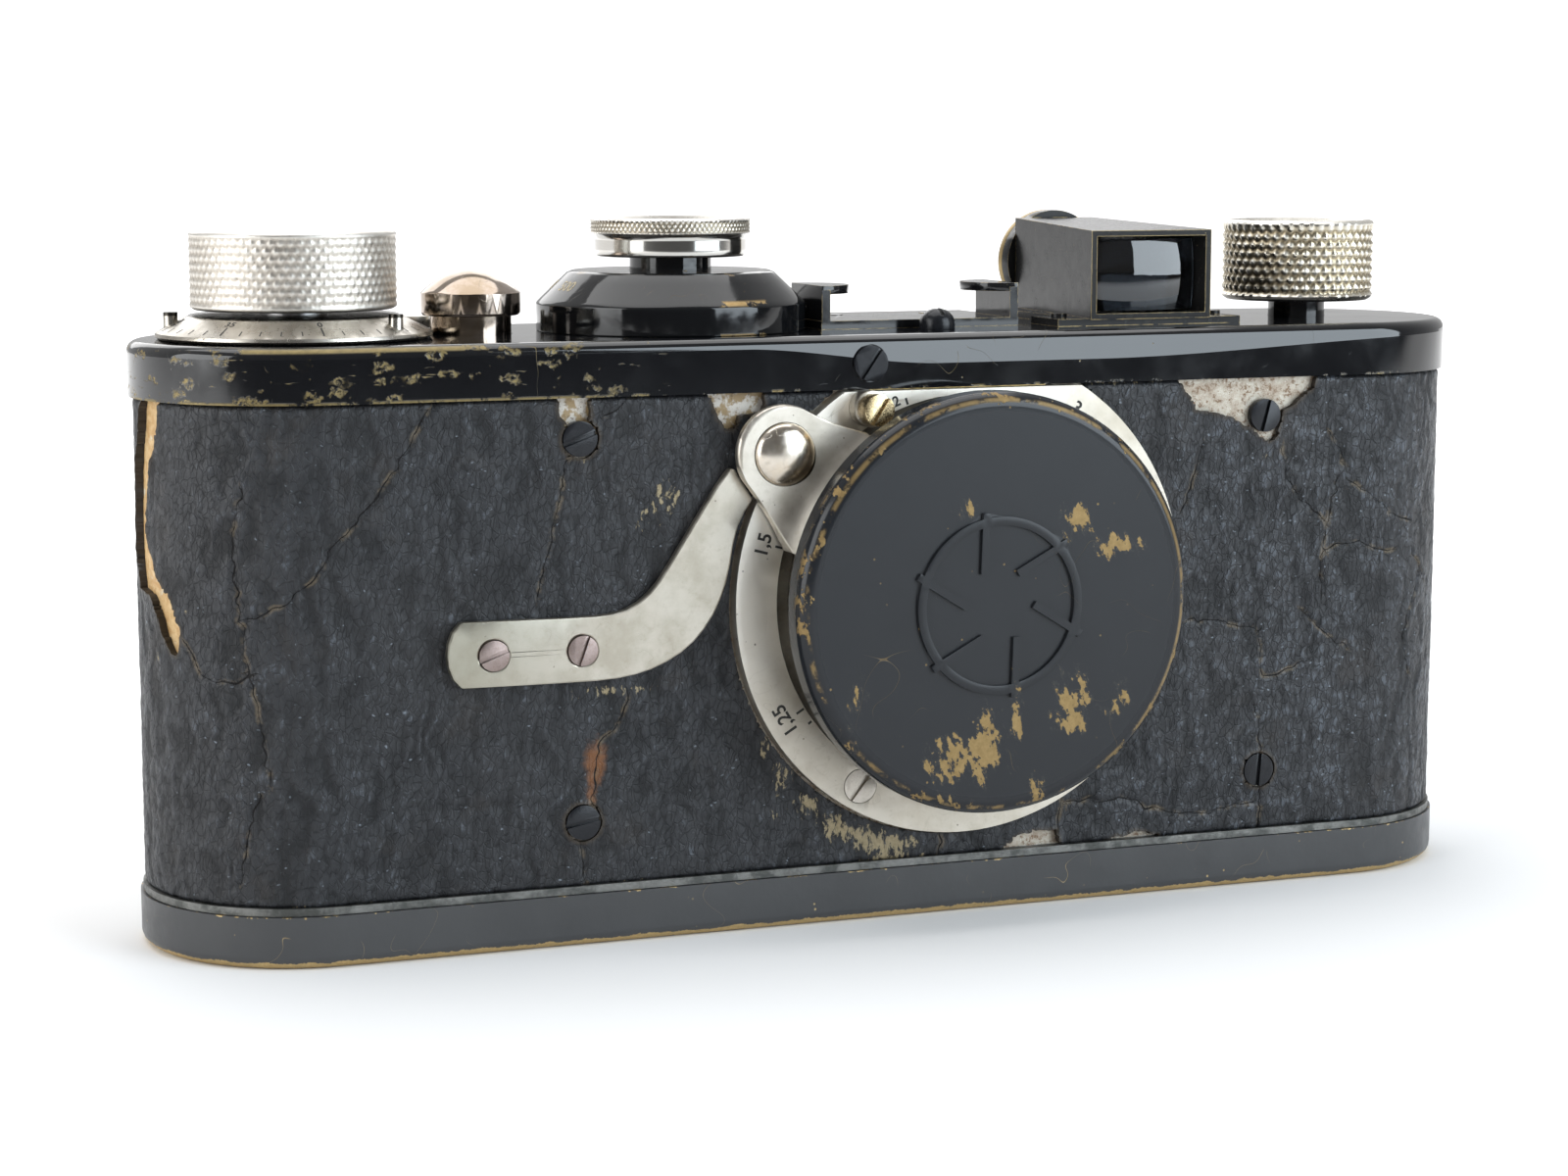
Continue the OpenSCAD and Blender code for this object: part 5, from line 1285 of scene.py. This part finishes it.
def cone_place(adeg, s, lift):
    """a point on the cone: across x (mm), s from 0 at the outer edge to 1 at the inner one"""
    def f(x, t, z):
        a = math.radians(adeg)
        r = ca[0] + (cb[0] - ca[0]) * t
        zz = ca[1] + (cb[1] - ca[1]) * t
        L = math.hypot(cb[0] - ca[0], cb[1] - ca[1])
        nr, nz_ = (cb[1] - ca[1]) / L, -(cb[0] - ca[0]) / L
        r += nr * (lift + z)
        zz += nz_ * (lift + z)
        da = x / r
        return (WX + r * math.cos(a + da), r * math.sin(a + da), T + zz)
    return f


for k in range(40):
    a = k * 9.0 - 90
    t1 = 0.62 if k % 5 == 0 else 0.42
    w = 0.07 if k % 5 == 0 else 0.05
    f = cone_place(a, 0, 0.0)
    parts.append(prism([f(-w, 0.17, -0.01), f(w, 0.17, -0.01), f(w, t1, -0.01), f(-w, t1, -0.01)], [f(-w, 0.17, 0.014), f(w, 0.17, 0.014), f(w, t1, 0.014), f(-w, t1, 0.014)]))
for k in range(8):
    a = k * 45.0 - 90
    f = cone_place(a, 0, 0.0)
    L = math.hypot(cb[0] - ca[0], cb[1] - ca[1])
    pf = lambda x, y, z, f=f: f(x, 0.80 + y / L, z + 0.004)
    parts.append(text_mesh(str(k * 5), 1.05, pf, "num", None, None, None, 0.02, 0.012))
join_parts("frame_marks", parts, M["mark_paint"], "counter")

# shutter speeds on the boss's sloping shoulder
s_ = Sh("mark_brass")
M["mark_brass"] = s_.done(s_.mixc(s_.noise(3, 4), (0.28, 0.22, 0.12), (0.60, 0.52, 0.36)), 0.2, 0.5)
parts = []
br0, bz0, br1, bz1 = 12.3, 3.0, 9.8, 5.4
for k, txt in enumerate(("20", "30", "40", "60", "100", "200", "500")):
    a0 = math.radians(34 + k * 26)

    def pf(x, y, z, a0=a0):
        L = math.hypot(br1 - br0, bz1 - bz0)
        t = 0.52 + y / L
        nr, nz_ = (bz1 - bz0) / L, -(br1 - br0) / L
        r = br0 + (br1 - br0) * t + nr * (z + 0.006)
        zz = bz0 + (bz1 - bz0) * t + nz_ * (z + 0.006)
        a = a0 + x / r
        return (DX + r * math.cos(a), r * math.sin(a), T + zz)
    parts.append(text_mesh(txt, 1.7, pf, "num", None, None, None, 0.02, 0.02))
join_parts("speed_marks", parts, M["mark_brass"], "camera")

# ------------------------------------------------------------------ floor and light
fm = bpy.data.materials.new("floor_pale")
fm.use_nodes = True
fb = fm.node_tree.nodes["Principled BSDF"]
fb.inputs["Base Color"].default_value = (0.88, 0.88, 0.88, 1)
fb.inputs["Roughness"].default_value = 0.9
fb.inputs["Specular IOR Level"].default_value = 0.2
ftc = fm.node_tree.nodes.new("ShaderNodeTexCoord")
fln = fm.node_tree.nodes.new("ShaderNodeVectorMath")
fln.operation = "LENGTH"
fmr = fm.node_tree.nodes.new("ShaderNodeMapRange")
fmr.interpolation_type = "SMOOTHSTEP"
fm.node_tree.links.new(ftc.outputs["Object"], fln.inputs[0])
fm.node_tree.links.new(fln.outputs["Value"], fmr.inputs["Value"])
fmr.inputs["From Min"].default_value, fmr.inputs["From Max"].default_value = 0.12, 0.75
fmr.inputs["To Min"].default_value, fmr.inputs["To Max"].default_value = 0.0, 0.85
fb.inputs["Emission Color"].default_value = (1, 1, 1, 1)
fsp = fm.node_tree.nodes.new("ShaderNodeSeparateXYZ")
fm.node_tree.links.new(ftc.outputs["Object"], fsp.inputs[0])
ffr = fm.node_tree.nodes.new("ShaderNodeMapRange")
ffr.interpolation_type = "SMOOTHSTEP"
ffr.inputs["From Min"].default_value, ffr.inputs["From Max"].default_value = -0.52, -0.26
ffr.inputs["To Min"].default_value, ffr.inputs["To Max"].default_value = 0.05, 1.0
fm.node_tree.links.new(fsp.outputs[1], ffr.inputs["Value"])
flp = fm.node_tree.nodes.new("ShaderNodeLightPath")
fmx = fm.node_tree.nodes.new("ShaderNodeMath")
fmx.operation = "MAXIMUM"
fm.node_tree.links.new(ffr.outputs["Result"], fmx.inputs[0])
fm.node_tree.links.new(flp.outputs["Is Camera Ray"], fmx.inputs[1])
fcm = fm.node_tree.nodes.new("ShaderNodeMath")
fcm.operation = "MULTIPLY"
fm.node_tree.links.new(fmx.outputs[0], fcm.inputs[0])
fcm.inputs[1].default_value = 0.88
fcc = fm.node_tree.nodes.new("ShaderNodeCombineColor")
for k_ in range(3):
    fm.node_tree.links.new(fcm.outputs[0], fcc.inputs[k_])
fm.node_tree.links.new(fcc.outputs[0], fb.inputs["Base Color"])
fem = fm.node_tree.nodes.new("ShaderNodeMath")
fem.operation = "MULTIPLY"
fm.node_tree.links.new(fmr.outputs["Result"], fem.inputs[0])
fm.node_tree.links.new(fmx.outputs[0], fem.inputs[1])
fm.node_tree.links.new(fem.outputs[0], fb.inputs["Emission Strength"])
me = bpy.data.meshes.new("floor")
me.from_pydata([(-6, -6, 0), (6, -6, 0), (6, 6, 0), (-6, 6, 0)], [], [(0, 1, 2, 3)])
me.materials.append(fm)
floor = bpy.data.objects.new("floor", me)
bpy.context.scene.collection.objects.link(floor)

world = bpy.data.worlds.new("studio")
bpy.context.scene.world = world
world.use_nodes = True
nt = world.node_tree
nt.nodes.clear()
out = nt.nodes.new("ShaderNodeOutputWorld")
bg = nt.nodes.new("ShaderNodeBackground")
bgc = nt.nodes.new("ShaderNodeBackground")
mixs = nt.nodes.new("ShaderNodeMixShader")
lp = nt.nodes.new("ShaderNodeLightPath")
tc = nt.nodes.new("ShaderNodeTexCoord")
sx = nt.nodes.new("ShaderNodeSeparateXYZ")
mr = nt.nodes.new("ShaderNodeMapRange")
mr.interpolation_type = "SMOOTHSTEP"
nt.links.new(tc.outputs["Generated"], sx.inputs[0])
nt.links.new(sx.outputs[1], mr.inputs["Value"])
mr.inputs["From Min"].default_value, mr.inputs["From Max"].default_value = -0.9, 0.6
mr.inputs["To Min"].default_value, mr.inputs["To Max"].default_value = 0.16, 0.60
nt.links.new(mr.outputs["Result"], bg.inputs["Strength"])
bg.inputs["Color"].default_value = (1.0, 1.0, 1.0, 1)
bgc.inputs["Color"].default_value = (1.0, 1.0, 1.0, 1)
bgc.inputs["Strength"].default_value = 1.15
nt.links.new(lp.outputs["Is Camera Ray"], mixs.inputs[0])
nt.links.new(bg.outputs[0], mixs.inputs[1])
nt.links.new(bgc.outputs[0], mixs.inputs[2])
nt.links.new(mixs.outputs[0], out.inputs[0])


def area(name, loc, target, sx_, sy_, power, col=(1, 1, 1)):
    d = bpy.data.lights.new(name, "AREA")
    d.shape, d.size, d.size_y, d.energy, d.color = "RECTANGLE", sx_, sy_, power, col
    o = bpy.data.objects.new(name, d)
    bpy.context.scene.collection.objects.link(o)
    o.location = loc
    o.rotation_mode = "QUATERNION"
    o.rotation_quaternion = (Vector(target) - Vector(loc)).to_track_quat("-Z", "Y")
    o.visible_camera = False
    return o


area("soft_top", (0.0, 0.15, 0.9), (0, 0, 0), 1.0, 0.8, 5.4)
area("soft_right", (0.42, -0.53, 0.33), (0.0, 0.0, 0.33), 0.50, 0.60, 5.4, (0.82, 0.92, 1.0))
area("soft_left", (-0.72, -0.10, 0.30), (0.0, 0.0, 0.30), 0.56, 0.56, 3.6, (0.97, 0.99, 1.0))
area("soft_back", (0.1, 0.9, 0.5), (0, 0, 0.03), 0.9, 0.6, 3.0)
